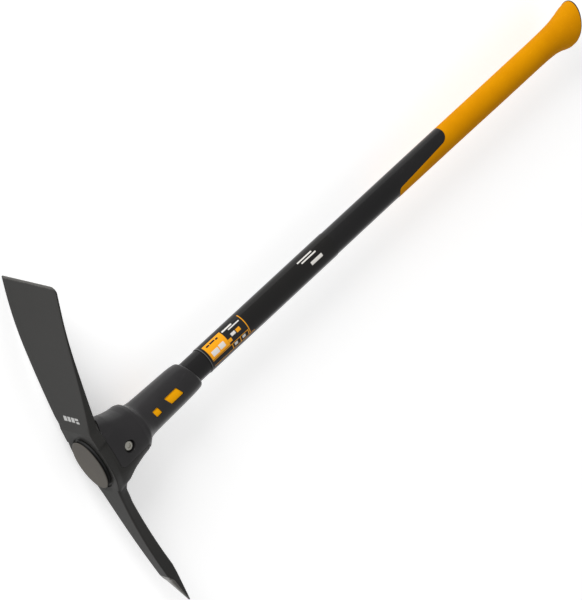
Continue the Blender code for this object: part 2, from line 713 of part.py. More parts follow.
def collar_nut(finish):
    seat = -screw_floor() - GAP
    nut = object_from("collar_nut", drum(hexagon_corner(NUT_HALF_FLATS), seat - NUT_HEIGHT, seat, 6), finish)
    bore = helper("nut_bore", drum(SCREW_RADIUS + GAP, -BEYOND, 0.0))
    boolean(nut, bore)
    for piece in (nut, bore):
        piece.location.x = SCREW_X
    return nut


def tongue_front(gap=0.0):
    """The shaft in front of the grip, seen along Z: its tongue reaches further back on the adze side.
    A gap draws the edge back from the grip."""
    front = GRIP_FRONT - gap
    tip = TONGUE_TIP - gap
    root_side = TONGUE_SIDE[0] + gap
    tip_side = TONGUE_SIDE[1] + gap
    big = TONGUE_ROUND[0] - gap
    small = TONGUE_ROUND[1] + gap
    outline = [(tip - 2 * BEYOND, BEYOND), (front, BEYOND)]
    outline += arc((front - big, root_side + big), big, 0, -90, 8)
    outline += arc((tip + small, tip_side - small), small, 90, 180, 6)
    outline += [(tip, -BEYOND), (tip - 2 * BEYOND, -BEYOND)]
    return outline


def shaft_tube(finish):
    """Outer layer of the handle, let down where the grip sits on it."""
    bore = grown(SHAFT, -SHAFT_WALL)
    shaft = object_from("shaft_tube", tube(SHAFT_START, SHAFT_END, SHAFT, bore), finish)
    outside = grown(SHAFT, GRIP_SEAT)
    down = grown(SHAFT, -GRIP_SEAT)
    seat = helper("grip_seat", tube(TONGUE_TIP - BEYOND, SHAFT_END + BEYOND, outside, down))
    boolean(seat, helper("seat_front", prism(tongue_front(GAP), -BEYOND, BEYOND)))
    boolean(shaft, seat)
    return shaft


def core_foam(finish):
    """Layer that fills the tube round the core."""
    outer = grown(SHAFT, -SHAFT_WALL - GAP)
    start = SOCKET_END + CORE_SHOULDER
    return object_from("core_foam", tube(start, CORE_END, outer, grown(CORE, GAP)), finish)


def label_film(finish):
    """Printed film wrapped round the shaft between the collar and the grip."""
    inner = grown(SHAFT, GAP)
    start = MOUTH + FILM_PAST_MOUTH
    end = TONGUE_TIP - FILM_TO_TONGUE
    return object_from("label_film", tube(start, end, grown(inner, FILM_WALL), inner), finish)


def grip_row(row, inset=0.0):
    """A ring of the grip from a row of its outline, smaller by inset."""
    back, y, tilt, off_y, off_z = row
    return oval(BUTT_X - back, *grown(plus(SHAFT, (off_y, off_z)), -inset), y=y, tilt=tilt)


def knob_end(inset):
    """Last ring of the knob, where the butt cap seats on it."""
    back = (BUTT_CAP_THICKNESS + GAP) / math.cos(math.radians(BUTT_TILT))
    size = grown(plus(SHAFT, BUTT_FLARE), GAP - inset)
    return oval(BUTT_X - back, *size, y=BUTT_Y, tilt=BUTT_TILT)


def knob_inner(inset):
    """Rings of the knob's hollow, from the tube's end to the cap, smaller by inset."""
    start = oval(SHAFT_END + 2 * GAP, *grown(SHAFT, GAP - GRIP_SEAT - inset))
    rows = [grip_row(row, KNOB_WALL + inset) for row in GRIP_OUTLINE if row[0] < SHAFT_TO_BUTT]
    return [start] + rows + [knob_end(KNOB_WALL + inset)]


def grip(finish):
    """Moulded grip: a sleeve with a tongue towards the head, and a leaning flared knob."""
    outer = [grip_row(row) for row in GRIP_OUTLINE] + [knob_end(0.0)]
    bore = oval(BUTT_X - GRIP_OUTLINE[0][0], *grown(SHAFT, GAP - GRIP_SEAT))
    inner = knob_inner(0.0)[::-1] + [bore]
    body = object_from("grip", loft(outer + inner, closed=True), finish, 45.0)
    boolean(body, helper("grip_front", prism(tongue_front(), -BEYOND, BEYOND)))
    return body


def at_butt(piece):
    """Places a piece modelled along X on the butt's leaning face."""
    piece.location = (BUTT_X, BUTT_Y, 0.0)
    piece.rotation_euler.z = -math.radians(BUTT_TILT)
    return piece


def butt_plug(finish):
    """Rigid plug under the knob, with a spigot in the tube and a hole for the cap's peg."""
    spigot = grown(SHAFT, -SHAFT_WALL - GAP)
    rings = [oval(x, *spigot) for x in (SHAFT_END - SPIGOT_LENGTH, SHAFT_END + GAP)]
    rings.append(oval(SHAFT_END + GAP, *grown(SHAFT, -GRIP_SEAT)))
    rings += knob_inner(GAP)
    plug = object_from("butt_plug", loft(rings), finish)
    hole_end = -BUTT_CAP_THICKNESS - CAP_PEG_LENGTH - GAP
    peg = [oval(x, *grown(CAP_PEG, GAP)) for x in (hole_end, BEYOND)]
    boolean(plug, at_butt(helper("peg_hole", loft(peg))))
    return plug


def butt_cap(finish):
    """Thin oval cap on the knob's leaning end, held by a peg."""
    half_y, half_z = plus(SHAFT, BUTT_FLARE)
    size = (half_y / math.cos(math.radians(BUTT_TILT)), half_z)
    rings = rounded_rim(size, BUTT_CAP_ROUND, -1.0)
    rings += [
        oval(-BUTT_CAP_THICKNESS, *size),
        oval(-BUTT_CAP_THICKNESS, *CAP_PEG),
        oval(-BUTT_CAP_THICKNESS - CAP_PEG_LENGTH, *CAP_PEG),
    ]
    return at_butt(object_from("butt_cap", loft(rings), finish))


def build():
    clear_scene()
    empty = bpy.data.objects.new("mattock", None)
    bpy.context.scene.collection.objects.link(empty)

    forged = material("forged_steel", (0.045, 0.043, 0.040), 0.45, 0.6)
    cap_grey = material("cap_grey", (0.115, 0.105, 0.092), 0.5, 0.2)
    bright = material("bright_steel", (0.62, 0.62, 0.61), 0.28, 1.0)
    moulded = material("black_moulding", (0.024, 0.023, 0.025), 0.42)
    shaft_black = material("shaft_black", (0.020, 0.019, 0.020), 0.35)
    rubber = material("black_rubber", (0.012, 0.012, 0.012), 0.7)
    soft_orange = material("orange_grip", (0.75, 0.29, 0.004), 0.55)
    inner_orange = material("orange_insulation", (0.85, 0.36, 0.004), 0.5)
    composite = material("glass_fibre", (0.35, 0.33, 0.25), 0.6)
    foam = material("foam", (0.5, 0.48, 0.42), 0.9)
    liner = material("liner_polymer", (0.06, 0.06, 0.06), 0.5)
    film = material("label_film", (0.03, 0.03, 0.03), 0.15)

    head_forging(forged)
    eye_cap(cap_grey)
    cap_ring(rubber)
    handle_core(composite)
    eye_liner(liner)
    core_bush(bright)
    insulation_sleeve(inner_orange)
    collar(moulded)
    collar_screw(bright)
    collar_nut(bright)
    shaft_tube(shaft_black)
    core_foam(foam)
    label_film(film)
    grip(soft_orange)
    butt_plug(moulded)
    butt_cap(rubber)


build()
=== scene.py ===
import math

import bpy
import numpy as np
from mathutils import Matrix


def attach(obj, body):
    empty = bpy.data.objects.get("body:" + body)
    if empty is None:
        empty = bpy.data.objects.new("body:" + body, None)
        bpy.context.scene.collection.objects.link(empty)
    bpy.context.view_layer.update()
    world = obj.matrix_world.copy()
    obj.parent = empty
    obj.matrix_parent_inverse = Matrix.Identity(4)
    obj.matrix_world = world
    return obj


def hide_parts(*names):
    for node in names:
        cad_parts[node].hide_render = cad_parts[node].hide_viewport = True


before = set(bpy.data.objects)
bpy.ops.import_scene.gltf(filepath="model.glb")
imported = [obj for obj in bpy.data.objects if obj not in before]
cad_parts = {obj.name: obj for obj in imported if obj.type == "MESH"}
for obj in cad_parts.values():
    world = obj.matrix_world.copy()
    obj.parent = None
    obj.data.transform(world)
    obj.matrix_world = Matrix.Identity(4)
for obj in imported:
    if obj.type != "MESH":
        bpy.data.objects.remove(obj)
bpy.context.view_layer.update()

# Pick mattock: forged head with an adze and a pick, moulded collar, two-layer handle with an
# orange grip. +X runs along the handle to the butt, +Y to the adze, +Z to the screw's head. Metres.

# Sizes, mostly those of the CAD part. Some curves and roundings are finer here.
GAP = 0.0003
HEAD_FACE = 0.0056
BARREL_FRONT = (0.0170, 0.0140)
BARREL_FLARE = 0.0110
BARREL_SQUARENESS = 2.4
BARREL_ROUND = 0.0016
CREASE_PLACE = 0.0400            # the blades leave the barrel at about this distance from the axis
CREASE_SPREAD = 0.0240
CREASE_ROUNDS = 40
CREASE_PICK_SHARE = 0.4
SEAT_FLOOR = 0.0075
SEAT_CLEARANCE = 0.0022
SEAT_LIP = 0.0007
SOCKET_END = 0.0720
EYE_FRONT = (0.0298, 0.0205)
EYE_BACK = (0.0256, 0.0168)
LINER_WALL = 0.0017

ADZE_REACH = 0.2390
ADZE_HALF_WIDTH = 0.0528
ADZE_ROOT = 0.0480
ADZE_ROOT_DROP = 0.0003
ADZE_BEND = 0.1450
ADZE_SLOPE = 0.196
ADZE_EDGE_SLOPE = 0.330
ADZE_ROOT_HALF_WIDTH = 0.0306
ADZE_JOIN_HALF_WIDTH = 0.0326
ADZE_JOIN = 0.0260
ADZE_THICKNESS = 0.0023
ADZE_ROOT_THICKNESS = 0.0134
ADZE_THINNED = 0.0360
EDGE_THICKNESS = 0.0009
EDGE_BEVEL = 0.0070
EDGE_SKEW = 0.0026               # the cutting edge ends this much short on the screw's side
EDGE_ROUND = 0.0085              # rounded corner of the blade there
EDGE_SHARP_ROUND = 0.0012        # and on the other side
ADZE_CORNER = 0.0016             # rounding along the blade
ADZE_FILLET = 0.0140             # width of the curve between the blade and the barrel

PICK_REACH = 0.2340
PICK_TIP_DROP = 0.0194
PICK_STRAIGHT = 0.0700
PICK_CURVE = 1.060
PICK_THICKNESS = 0.0156
PICK_END_THICKNESS = 0.0168
PICK_ROOT_THICKNESS = 0.0170
PICK_ROOT = 0.0520
PICK_ROOT_HALF_WIDTH = 0.0197
PICK_JOIN_HALF_WIDTH = 0.0238
PICK_JOIN_THICKNESS = 0.0310
PICK_JOIN = 0.0300
PICK_BLEND = 0.0200
PICK_TAPER = 1.8
PICK_FILLET = 1.5
PICK_END_HALF_WIDTH = 0.0096
PICK_POINT_LENGTH = 0.0436
PICK_BACK_LENGTH = 0.0570
PICK_TIP_SIZE = (0.0018, 0.0014)
PICK_BACK_SHARE = 0.62
PICK_CORNER = 0.0030
PICK_FILLET_WIDTH = 0.0120
GRIND_LEAD = 0.0058              # the ground faces start this far before the point's slope
GRIND_BEVEL = 0.64               # share of the thickness that their corners are ground back

CAP_OVERHANG = (0.0048, 0.0045)
CAP_THICKNESS = 0.0032
CAP_ROUND = 0.0011
CAP_CROWN = 0.00025
CAP_STEM = (0.0150, 0.0085)
CAP_STEM_LENGTH = 0.0180
RING_INSET = 0.0011
RING_ROUND = 0.0006

BOOT_FRONT = (0.0168, 0.0100, 2.40)
BOOT_OUTLINE = (
    (-0.0340, 0.0138, 0.0116, 2.40),
    (-0.0200, 0.0106, 0.0120, 2.35),
    (-0.0100, 0.0087, 0.0121, 2.30),
    (-0.0015, 0.0085, 0.0120, 2.25),
    (0.0032, 0.0073, 0.0112, 2.20),
)
BOOT_RIM = 0.0215
BOOT_RIM_RISE = 0.0125
BOOT_RIM_SPREAD = 6
BOOT_RISE_LENGTH = 0.0365
BOOT_RELIEF_LENGTH = 0.0300
BOOT_WALL = (0.0040, 0.0064)
COLLAR_LIP = 0.0009
NOTCH_SIDE = 0.0185
NOTCH_END = 0.0748
NOTCH_ROUND = 0.0085
SLEEVE_OUTLINE = (
    (0.0060, 0.0124, 0.0126, 2.10),
    (0.0092, 0.0095, 0.0113, 2.05),
    (0.0134, 0.0086, 0.0097, 2.00),
    (0.0200, 0.0080, 0.0082, 2.00),
    (0.0500, 0.0072, 0.0066, 2.00),
    (0.0800, 0.0063, 0.0058, 2.00),
    (0.0900, 0.0057, 0.0053, 2.00),
    (0.0955, 0.0051, 0.0048, 2.00),
    (0.1000, 0.0042, 0.0041, 2.00),
    (0.1022, 0.0023, 0.0024, 2.00),
)
MOUTH = 0.1742
MOUTH_TILT = -15.5
MOUTH_TILT_LENGTH = 0.0222
NECK_START = 0.1583
INSULATION_WALL = 0.0025
PAD_DEPTH = 0.0013
WINDOW_SIDE = 0.0037
LARGE_WINDOW = (0.0605, 0.0215, 0.0125, 0.0056)
SMALL_WINDOW = (0.0298, 0.0095, 0.0100, 0.0022)
WINDOW_ROUND = 0.0011

SCREW_X = 0.0445
SCREW_RADIUS = 0.0040
SCREW_HEAD_RADIUS = 0.0063
SCREW_HEAD_HEIGHT = 0.0024
SCREW_SOCKET = 0.0025
SCREW_SOCKET_DEPTH = 0.0015
RECESS_CLEARANCE = 0.0015
RECESS_FLOOR = 0.0014
RECESS_LIP = 0.0009
SCREW_CHAMFER = 0.0006
SOCKET_CHAMFER = 0.0005
NUT_HALF_FLATS = 0.0065
NUT_HEIGHT = 0.0040

SHAFT = (0.0170, 0.0151)
SHAFT_WALL = 0.0032
SHAFT_START = 0.0770
SHAFT_END = 0.8740
FILM_START = 0.1992
FILM_END = 0.4320
FILM_WALL = 0.0003

BUTT_X = 0.9155
BUTT_Y = -0.0020
BUTT_TILT = 27.3
BUTT_FLARE = (0.0082, 0.0063)
BUTT_CAP_THICKNESS = 0.0020
BUTT_CAP_ROUND = 0.0008
BUTT_CAP_CROWN = 0.0003
CAP_PEG = (0.0060, 0.0060)
CAP_PEG_LENGTH = 0.0100
GRIP_OUTLINE = (
    (0.3835, 0.0000, 0.0, 0.0003, 0.0002),
    (0.2635, -0.0004, 0.0, 0.0003, 0.0002),
    (0.1535, -0.0010, 0.0, 0.0006, 0.0005),
    (0.0735, -0.0012, 0.0, 0.0008, 0.0007),
    (0.0507, -0.0015, 6.0, 0.0014, 0.0012),
    (0.0337, -0.0023, 13.5, 0.0031, 0.0024),
    (0.0207, -0.0028, 20.0, 0.0060, 0.0041),
    (0.0097, -0.0024, 25.0, 0.0083, 0.0058),
)
GRIP_SEAT = 0.0018
GRIP_FRONT = 0.6540
TONGUE_TIP = 0.5526
TONGUE_SIDE = (0.0034, -0.0024)
TONGUE_ROUND = (0.0135, 0.0060)
KNOB_WALL = 0.0032

# Fineness of the surfaces, and how far a cutter reaches past what it cuts
ROUND_STEPS = 160                # points round the handle and the collar
CORNER_STEPS = 6                 # points round a blade's corner
FACE_STEPS = 20                  # and across its faces
BEYOND = 0.05
CLEAR = 0.004


# ---------------------------------------------------------------- curves and rings

def through(places, values, x):
    """A smooth curve through rows of values: cubic between places, where the slope at a place is the
    harmonic mean of its two chords, or 0 where they turn, so that it never overshoots."""
    places = np.asarray(places, float)
    values = np.asarray(values, float).reshape(len(places), -1)
    x = np.clip(np.asarray(x, float), places[0], places[-1])
    span = np.diff(places)
    chord = np.diff(values, axis=0) / span[:, None]
    before, after = chord[:-1], chord[1:]
    agree = before * after > 0
    middle = np.where(agree, 2 * before * after / np.where(agree, before + after, 1.0), 0.0)
    slope = np.vstack([chord[:1], middle, chord[-1:]])
    k = np.clip(np.searchsorted(places, x, side="right") - 1, 0, len(span) - 1)
    t = ((x - places[k]) / span[k])[:, None]
    h = span[k][:, None]
    return (
        values[k] * (1 + 2 * t) * (1 - t) ** 2
        + slope[k] * h * t * (1 - t) ** 2
        + values[k + 1] * t**2 * (3 - 2 * t)
        + slope[k + 1] * h * t**2 * (t - 1)
    )


def stretches(*ends):
    """Places from end to end in stretches, given as place, count, place, count, ..., place."""
    rows = zip(ends[0::2], ends[1::2], ends[2::2])
    return np.concatenate([*(np.linspace(low, high, count)[:-1] for low, count, high in rows), ends[-1:]])


def share_of(low, high, x):
    """0 at low and before it, 1 at high and past it, straight between."""
    return np.clip((x - low) / (high - low), 0.0, 1.0)


def smooth(low, high, x):
    """3t^2 - 2t^3 of that share t."""
    t = share_of(low, high, x)
    return t * t * (3 - 2 * t)


def quarter(radius, steps):
    """A rounded rim as two rows: how far each ring stands back from the face, radius (1 - cos a),
    and in from the side, radius (1 - sin a), for a from 0 to 90 degrees."""
    angle = np.linspace(0, np.pi / 2, steps)
    return radius * (1 - np.cos(angle)), radius * (1 - np.sin(angle))


def ovals(x, half_y, half_z, power=2.0, y=0.0, tilt=0.0, rise=0.0, steps=ROUND_STEPS):
    """Rings (M, N, 3) round the handle: y = half_y sgn(cos a)|cos a|^(2/power), z the same with sin,
    in a plane at x that leans by tilt degrees and is lifted on the adze side by rise max(0, cos a)^6."""
    x, half_y, half_z, power, y, tilt, rise = np.broadcast_arrays(
        *[np.atleast_1d(np.asarray(v, float)) for v in (x, half_y, half_z, power, y, tilt, rise)]
    )
    angle = 2 * np.pi * np.arange(steps) / steps
    across, up = np.cos(angle), np.sin(angle)
    bend = 2.0 / power[:, None]
    side = half_y[:, None] * np.sign(across) * np.abs(across) ** bend
    height = half_z[:, None] * np.sign(up) * np.abs(up) ** bend
    lean = np.tan(np.radians(tilt))[:, None] * side
    lift = rise[:, None] * np.maximum(0.0, across) ** BOOT_RIM_SPREAD
    return np.stack([x[:, None] + lean + lift, y[:, None] + side, height], axis=-1)


def rounded(corners, radius, straight=(FACE_STEPS, CORNER_STEPS, FACE_STEPS, CORNER_STEPS)):
    """Closed outlines (M, N, 2) from polygons (M, K, 2) with rounded corners: at each corner C, the
    curve (1-t)^2 A + 2t(1-t) C + t^2 B between the points A and B on the sides, radius from C."""
    before = np.roll(corners, 1, axis=1) - corners
    after = np.roll(corners, -1, axis=1) - corners
    radius = np.broadcast_to(np.asarray(radius, float), corners.shape[:2])[..., None]
    start = corners + before / np.linalg.norm(before, axis=-1, keepdims=True) * radius
    end = corners + after / np.linalg.norm(after, axis=-1, keepdims=True) * radius
    t = (np.arange(CORNER_STEPS + 1) / CORNER_STEPS)[None, :, None]
    runs = []
    for k in range(corners.shape[1]):
        a, c, b = start[:, k, None], corners[:, k, None], end[:, k, None]
        runs.append((1 - t) ** 2 * a + 2 * t * (1 - t) * c + t**2 * b)
        following = start[:, (k + 1) % corners.shape[1], None]
        s = (np.arange(1, straight[k]) / straight[k])[None, :, None]
        runs.append(b + (following - b) * s)
    return np.concatenate(runs, axis=1)


def outline_arc(centre, radius, start, end, steps=12):
    angle = np.radians(np.linspace(start, end, steps + 1))
    return np.stack([centre[0] + radius * np.cos(angle), centre[1] + radius * np.sin(angle)], axis=-1)


# ---------------------------------------------------------------- meshes

def linked(name, data):
    """A new object with this data, in the scene."""
    made = bpy.data.objects.new(name, data)
    bpy.context.scene.collection.objects.link(made)
    return made


def mesh_object(name, points, faces, sharp, paint=()):
    """An object from points and faces of three or four corners. Faces are turned round where the
    signed volume is negative, so that they point outwards."""
    volume = sum(
        np.einsum("ij,ij->i", points[f[:, 0]], np.cross(points[f[:, k]], points[f[:, k + 1]])).sum()
        for f in faces
        for k in range(1, f.shape[1] - 1)
    )
    faces = [f[:, ::-1] if volume < 0 else f for f in faces]
    corners = np.concatenate([f.ravel() for f in faces]).astype(np.int32)
    sizes = np.concatenate([np.full(len(f), f.shape[1]) for f in faces])
    mesh = bpy.data.meshes.new(name)
    mesh.vertices.add(len(points))
    mesh.vertices.foreach_set("co", points.astype(np.float32).ravel())
    mesh.loops.add(len(corners))
    mesh.loops.foreach_set("vertex_index", corners)
    mesh.polygons.add(len(sizes))
    starts = np.concatenate([[0], np.cumsum(sizes)[:-1]])
    mesh.polygons.foreach_set("loop_start", starts.astype(np.int32))
    mesh.update(calc_edges=True)
    for key, values in paint:
        layer = mesh.attributes.new(key, "FLOAT", "POINT")
        layer.data.foreach_set("value", values.astype(np.float32).ravel())
    mesh.shade_smooth()
    mesh.set_sharp_from_angle(angle=math.radians(sharp))
    return linked(name, mesh)


def skin(name, rings, looped=False, sharp=40.0, **paint):
    """A closed skin over rings (M, N, 3): quads between neighbours. The two end rings are closed by
    fans to their middles, or joined to each other where looped. paint holds (M, N) values."""
    count, steps, _ = rings.shape
    index = np.arange(count * steps).reshape(count, steps)
    beside = np.roll(index, -1, axis=1)
    quads = np.stack([index, beside, np.roll(beside, -1, 0), np.roll(index, -1, 0)], axis=-1)
    points = rings.reshape(-1, 3)
    layers = [(key, np.broadcast_to(value, (count, steps)).ravel()) for key, value in paint.items()]
    if looped:
        return mesh_object(name, points, [quads.reshape(-1, 4)], sharp, layers)
    points = np.vstack([points, rings[[0, -1]].mean(axis=1)])
    layers = [(key, np.concatenate([value, [value[0], value[-1]]])) for key, value in layers]
    first = np.stack([np.full(steps, count * steps), beside[0], index[0]], axis=-1)
    last = np.stack([np.full(steps, count * steps + 1), index[-1], beside[-1]], axis=-1)
    return mesh_object(name, points, [quads[:-1].reshape(-1, 4), first, last], sharp, layers)


def prism(name, outline, low=-BEYOND, high=BEYOND):
    """An outline (N, 2) in X and Y, extruded along Z."""
    outline = np.asarray(outline, float)
    rings = [np.column_stack([outline, np.full(len(outline), z)]) for z in (low, high)]
    return skin(name, np.array(rings))


def turned(name, profile, sides=64):
    """A solid turned about the screw's axis, from rows of radius and height."""
    profile = np.asarray(profile, float)
    angle = 2 * np.pi * np.arange(sides) / sides
    ring = np.stack([np.cos(angle), np.sin(angle)], axis=-1)
    flat = profile[:, 0, None, None] * ring + np.array([SCREW_X, 0.0])
    height = np.broadcast_to(profile[:, 1, None, None], flat.shape[:2] + (1,))
    return skin(name, np.concatenate([flat, height], axis=-1))


def drill(name, radius, high=BEYOND, sides=64):
    return turned(name, [(radius, -BEYOND), (radius, high)], sides)


def hexagon(half_flats):
    """The radius to the corners of a hexagon."""
    return half_flats / math.cos(math.pi / 6)


def joined(target, steps, sharp=35.0):
    """Applies Boolean steps, pairs of operation and tool, to target, and removes the tools. The
    result is one closed mesh, with its sharp edges marked again."""
    for operation, tool in steps:
        change = target.modifiers.new(tool.name, "BOOLEAN")
        change.operation = operation
        change.solver = "MANIFOLD"
        change.object = tool
        tool.hide_render = True
    bpy.context.view_layer.update()
    graph = bpy.context.evaluated_depsgraph_get()
    mesh = bpy.data.meshes.new_from_object(
        target.evaluated_get(graph), preserve_all_data_layers=True, depsgraph=graph
    )
    target.modifiers.clear()
    target.data = mesh
    for _, tool in steps:
        bpy.data.objects.remove(tool, do_unlink=True)
    mesh.shade_smooth()
    mesh.set_sharp_from_angle(angle=math.radians(sharp))
    return target


def cut(target, *tools, sharp=35.0):
    return joined(target, [("DIFFERENCE", tool) for tool in tools], sharp)


def relaxed(target):
    """Rounds the creases between the barrel and the blades: each point moves halfway to the mean of
    its neighbours, CREASE_ROUNDS times, by a share that is full near CREASE_PLACE, nothing
    CREASE_SPREAD away from it or on the front face, and less on the pick's side."""
    mesh = target.data
    points = np.empty(len(mesh.vertices) * 3, np.float32)
    mesh.vertices.foreach_get("co", points)
    points = points.reshape(-1, 3).astype(float)
    ends = np.empty(len(mesh.edges) * 2, np.int32)
    mesh.edges.foreach_get("vertices", ends)
    ends = ends.reshape(-1, 2)
    count = np.bincount(ends.ravel(), minlength=len(points))[:, None]
    away = np.abs(np.abs(points[:, 1]) - CREASE_PLACE)
    share = 1 - smooth(0.35 * CREASE_SPREAD, CREASE_SPREAD, away)
    share = share * smooth(HEAD_FACE + 0.0002, HEAD_FACE + 0.0020, points[:, 0])
    share = (share * np.where(points[:, 1] < 0, CREASE_PICK_SHARE, 1.0))[:, None]
    for _ in range(CREASE_ROUNDS):
        total = np.zeros_like(points)
        for axis in range(3):
            for near, far in ((0, 1), (1, 0)):
                total[:, axis] += np.bincount(ends[:, near], points[ends[:, far], axis], len(points))
        points += 0.5 * share * (total / count - points)
    mesh.vertices.foreach_set("co", points.astype(np.float32).ravel())
    mesh.update()
    return target


def placed(piece, node, slot_name, finish):
    """Hides the piece's CAD node, gives the piece its finish and puts it on the object's body."""
    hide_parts(node)
    piece.data.materials.clear()
    piece.data.materials.append(finish)
    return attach(piece, "root")


# ---------------------------------------------------------------- shapes of the collar and barrel

def eye_half(x, inset=0.0):
    """Half sizes (M, 2) of the tapered eye at x."""
    share = (np.asarray(x, float) - SEAT_FLOOR) / (SOCKET_END - SEAT_FLOOR)
    return np.array(EYE_FRONT) + (np.array(EYE_BACK) - np.array(EYE_FRONT)) * share[..., None] - inset


def collar_table():
    places = np.array([SEAT_FLOOR] + [SOCKET_END + row[0] for row in BOOT_OUTLINE])
    walls = np.array([BOOT_FRONT] + [row[1:] for row in BOOT_OUTLINE])
    boot = np.column_stack([eye_half(places) + walls[:, :2], walls[:, 2]])
    off = np.array(SLEEVE_OUTLINE)
    sleeve = np.column_stack([off[:, 1:3] + SHAFT, off[:, 3]])
    return np.concatenate([places, SOCKET_END + off[:, 0]]), np.vstack([boot, sleeve])


COLLAR_PLACES, COLLAR_SIZES = collar_table()


def collar_size(x):
    """Half sizes and squareness of the collar at x: straight between the boot's rows and round its
    shoulder, a smooth curve along the sleeve."""
    straight = np.stack([np.interp(x, COLLAR_PLACES, column) for column in COLLAR_SIZES.T], axis=-1)
    curved = through(COLLAR_PLACES, COLLAR_SIZES, x)
    return straight + (curved - straight) * smooth(SOCKET_END + 0.004, SOCKET_END + 0.010, x)[:, None]


def collar_rings(x, inset=(0.0, 0.0), rise=0.0):
    """Rings of the collar's outer shape at x, moved in by inset along Y and Z."""
    x = np.atleast_1d(np.asarray(x, float))
    size = collar_size(x)
    inset = np.broadcast_to(np.asarray(inset, float), (len(x), 2))
    past = np.maximum(0.0, x - MOUTH + MOUTH_TILT_LENGTH) / MOUTH_TILT_LENGTH
    half_y, half_z = (size[:, :2] - inset).T
    return ovals(x, half_y, half_z, size[:, 2], tilt=MOUTH_TILT * past, rise=rise)


def notch_outline(gap):
    """The boot's opening on the pick side, seen along Z, smaller by gap all round."""
    side, end = -NOTCH_SIDE - gap, NOTCH_END - gap
    low_round, end_round = NOTCH_ROUND + gap, NOTCH_ROUND - gap
    low_x = BOOT_RIM - gap + low_round
    return np.vstack([
        [(HEAD_FACE - BEYOND, side - BEYOND), (end, side - BEYOND)],
        outline_arc((end - end_round, side - end_round), end_round, 0, 90),
        outline_arc((low_x, side + low_round), low_round, 270, 180),
        [(HEAD_FACE - BEYOND, side + low_round)],
    ])


def oval_distance(points, half_y, half_z, power):
    """Distance from a superellipse round X, to first order: (r - 1) / |grad r|, with
    r = (|y/half_y|^power + |z/half_z|^power)^(1/power). Also the outward normal in Y and Z."""
    y, z = points[..., 1], points[..., 2]
    r = np.maximum((np.abs(y / half_y) ** power + np.abs(z / half_z) ** power) ** (1 / power), 1e-6)
    slope_y = r ** (1 - power) * np.sign(y) * np.abs(y) ** (power - 1) / half_y**power
    slope_z = r ** (1 - power) * np.sign(z) * np.abs(z) ** (power - 1) / half_z**power
    size = np.maximum(np.hypot(slope_y, slope_z), 1e-6)
    return (r - 1) / size, slope_y / size, slope_z / size


def fillet(distance, width):
    """Rise of a fillet of this width on a surface, at a distance from the other surface:
    width (1 - sqrt(distance/width))^2, level once the two fillets have met at a quarter of it."""
    share = np.clip(distance / width, 0.25, 1.0)
    return width * (1 - np.sqrt(share)) ** 2


def barrel_size(x):
    """Half sizes and squareness of the barrel at x, flared at its front."""
    front = np.array([*(np.array(EYE_FRONT) + BARREL_FRONT), BARREL_SQUARENESS])
    boot_places = SOCKET_END + np.array(BOOT_OUTLINE)[:, 0]
    places = np.concatenate([[HEAD_FACE, HEAD_FACE + BARREL_FLARE], boot_places])
    sizes = collar_size(places)
    sizes[0] = front
    return np.stack([np.interp(x, places, column) for column in sizes.T], axis=-1)


# ---------------------------------------------------------------- blades of the head

def blade_sections(y, corners, radius, straight, width):
    """Rounded four-sided sections across Y, from corners (M, 4, 2) in X and Z, with their outward
    normals. Near the barrel a point rises along X by the fillet's formula times its normal's X."""
    flat = rounded(corners, radius, straight)
    points = np.stack([flat[..., 0], np.broadcast_to(y[:, None], flat.shape[:2]), flat[..., 1]], axis=-1)
    tangent = np.roll(flat, -1, axis=1) - np.roll(flat, 1, axis=1)
    tangent /= np.maximum(np.linalg.norm(tangent, axis=-1, keepdims=True), 1e-9)
    normal = np.stack([tangent[..., 1], -tangent[..., 0]], axis=-1)
    centre = corners.mean(axis=1, keepdims=True)
    normal *= np.sign(((flat - centre) * normal).sum(-1, keepdims=True))
    size = barrel_size(np.clip(points[..., 0].ravel(), HEAD_FACE, NOTCH_END)).reshape(*flat.shape[:2], 3)
    away = oval_distance(points, *np.moveaxis(size, -1, 0))[0]
    points[..., 0] += fillet(np.maximum(away, 0.0), width) * np.maximum(normal[..., 0], 0.0)
    return points, normal


def adze_front(y):
    """Front of the blade: straight from its root, then curving in to the edge."""
    straight = HEAD_FACE + ADZE_ROOT_DROP + ADZE_SLOPE * (np.minimum(y, ADZE_BEND) - ADZE_ROOT)
    past = np.maximum(0.0, y - ADZE_BEND)
    bend = (ADZE_EDGE_SLOPE - ADZE_SLOPE) / (2.0 * (ADZE_REACH - ADZE_BEND))
    return np.maximum(straight + ADZE_SLOPE * past + bend * past**2, HEAD_FACE)


def adze_half_width(y):
    away = share_of(ADZE_REACH, ADZE_ROOT, y)
    wide = ADZE_HALF_WIDTH - (ADZE_HALF_WIDTH - ADZE_ROOT_HALF_WIDTH) * away**2
    inside = share_of(ADZE_ROOT, ADZE_JOIN, y)
    return wide + (ADZE_JOIN_HALF_WIDTH - ADZE_ROOT_HALF_WIDTH) * inside


def adze_thickness(y):
    away = share_of(ADZE_REACH - ADZE_THINNED, ADZE_ROOT, y)
    thick = ADZE_THICKNESS + (ADZE_ROOT_THICKNESS - ADZE_THICKNESS) * away**2
    ground = share_of(ADZE_REACH - EDGE_BEVEL, ADZE_REACH, y)
    return thick - (ADZE_THICKNESS - EDGE_THICKNESS) * ground


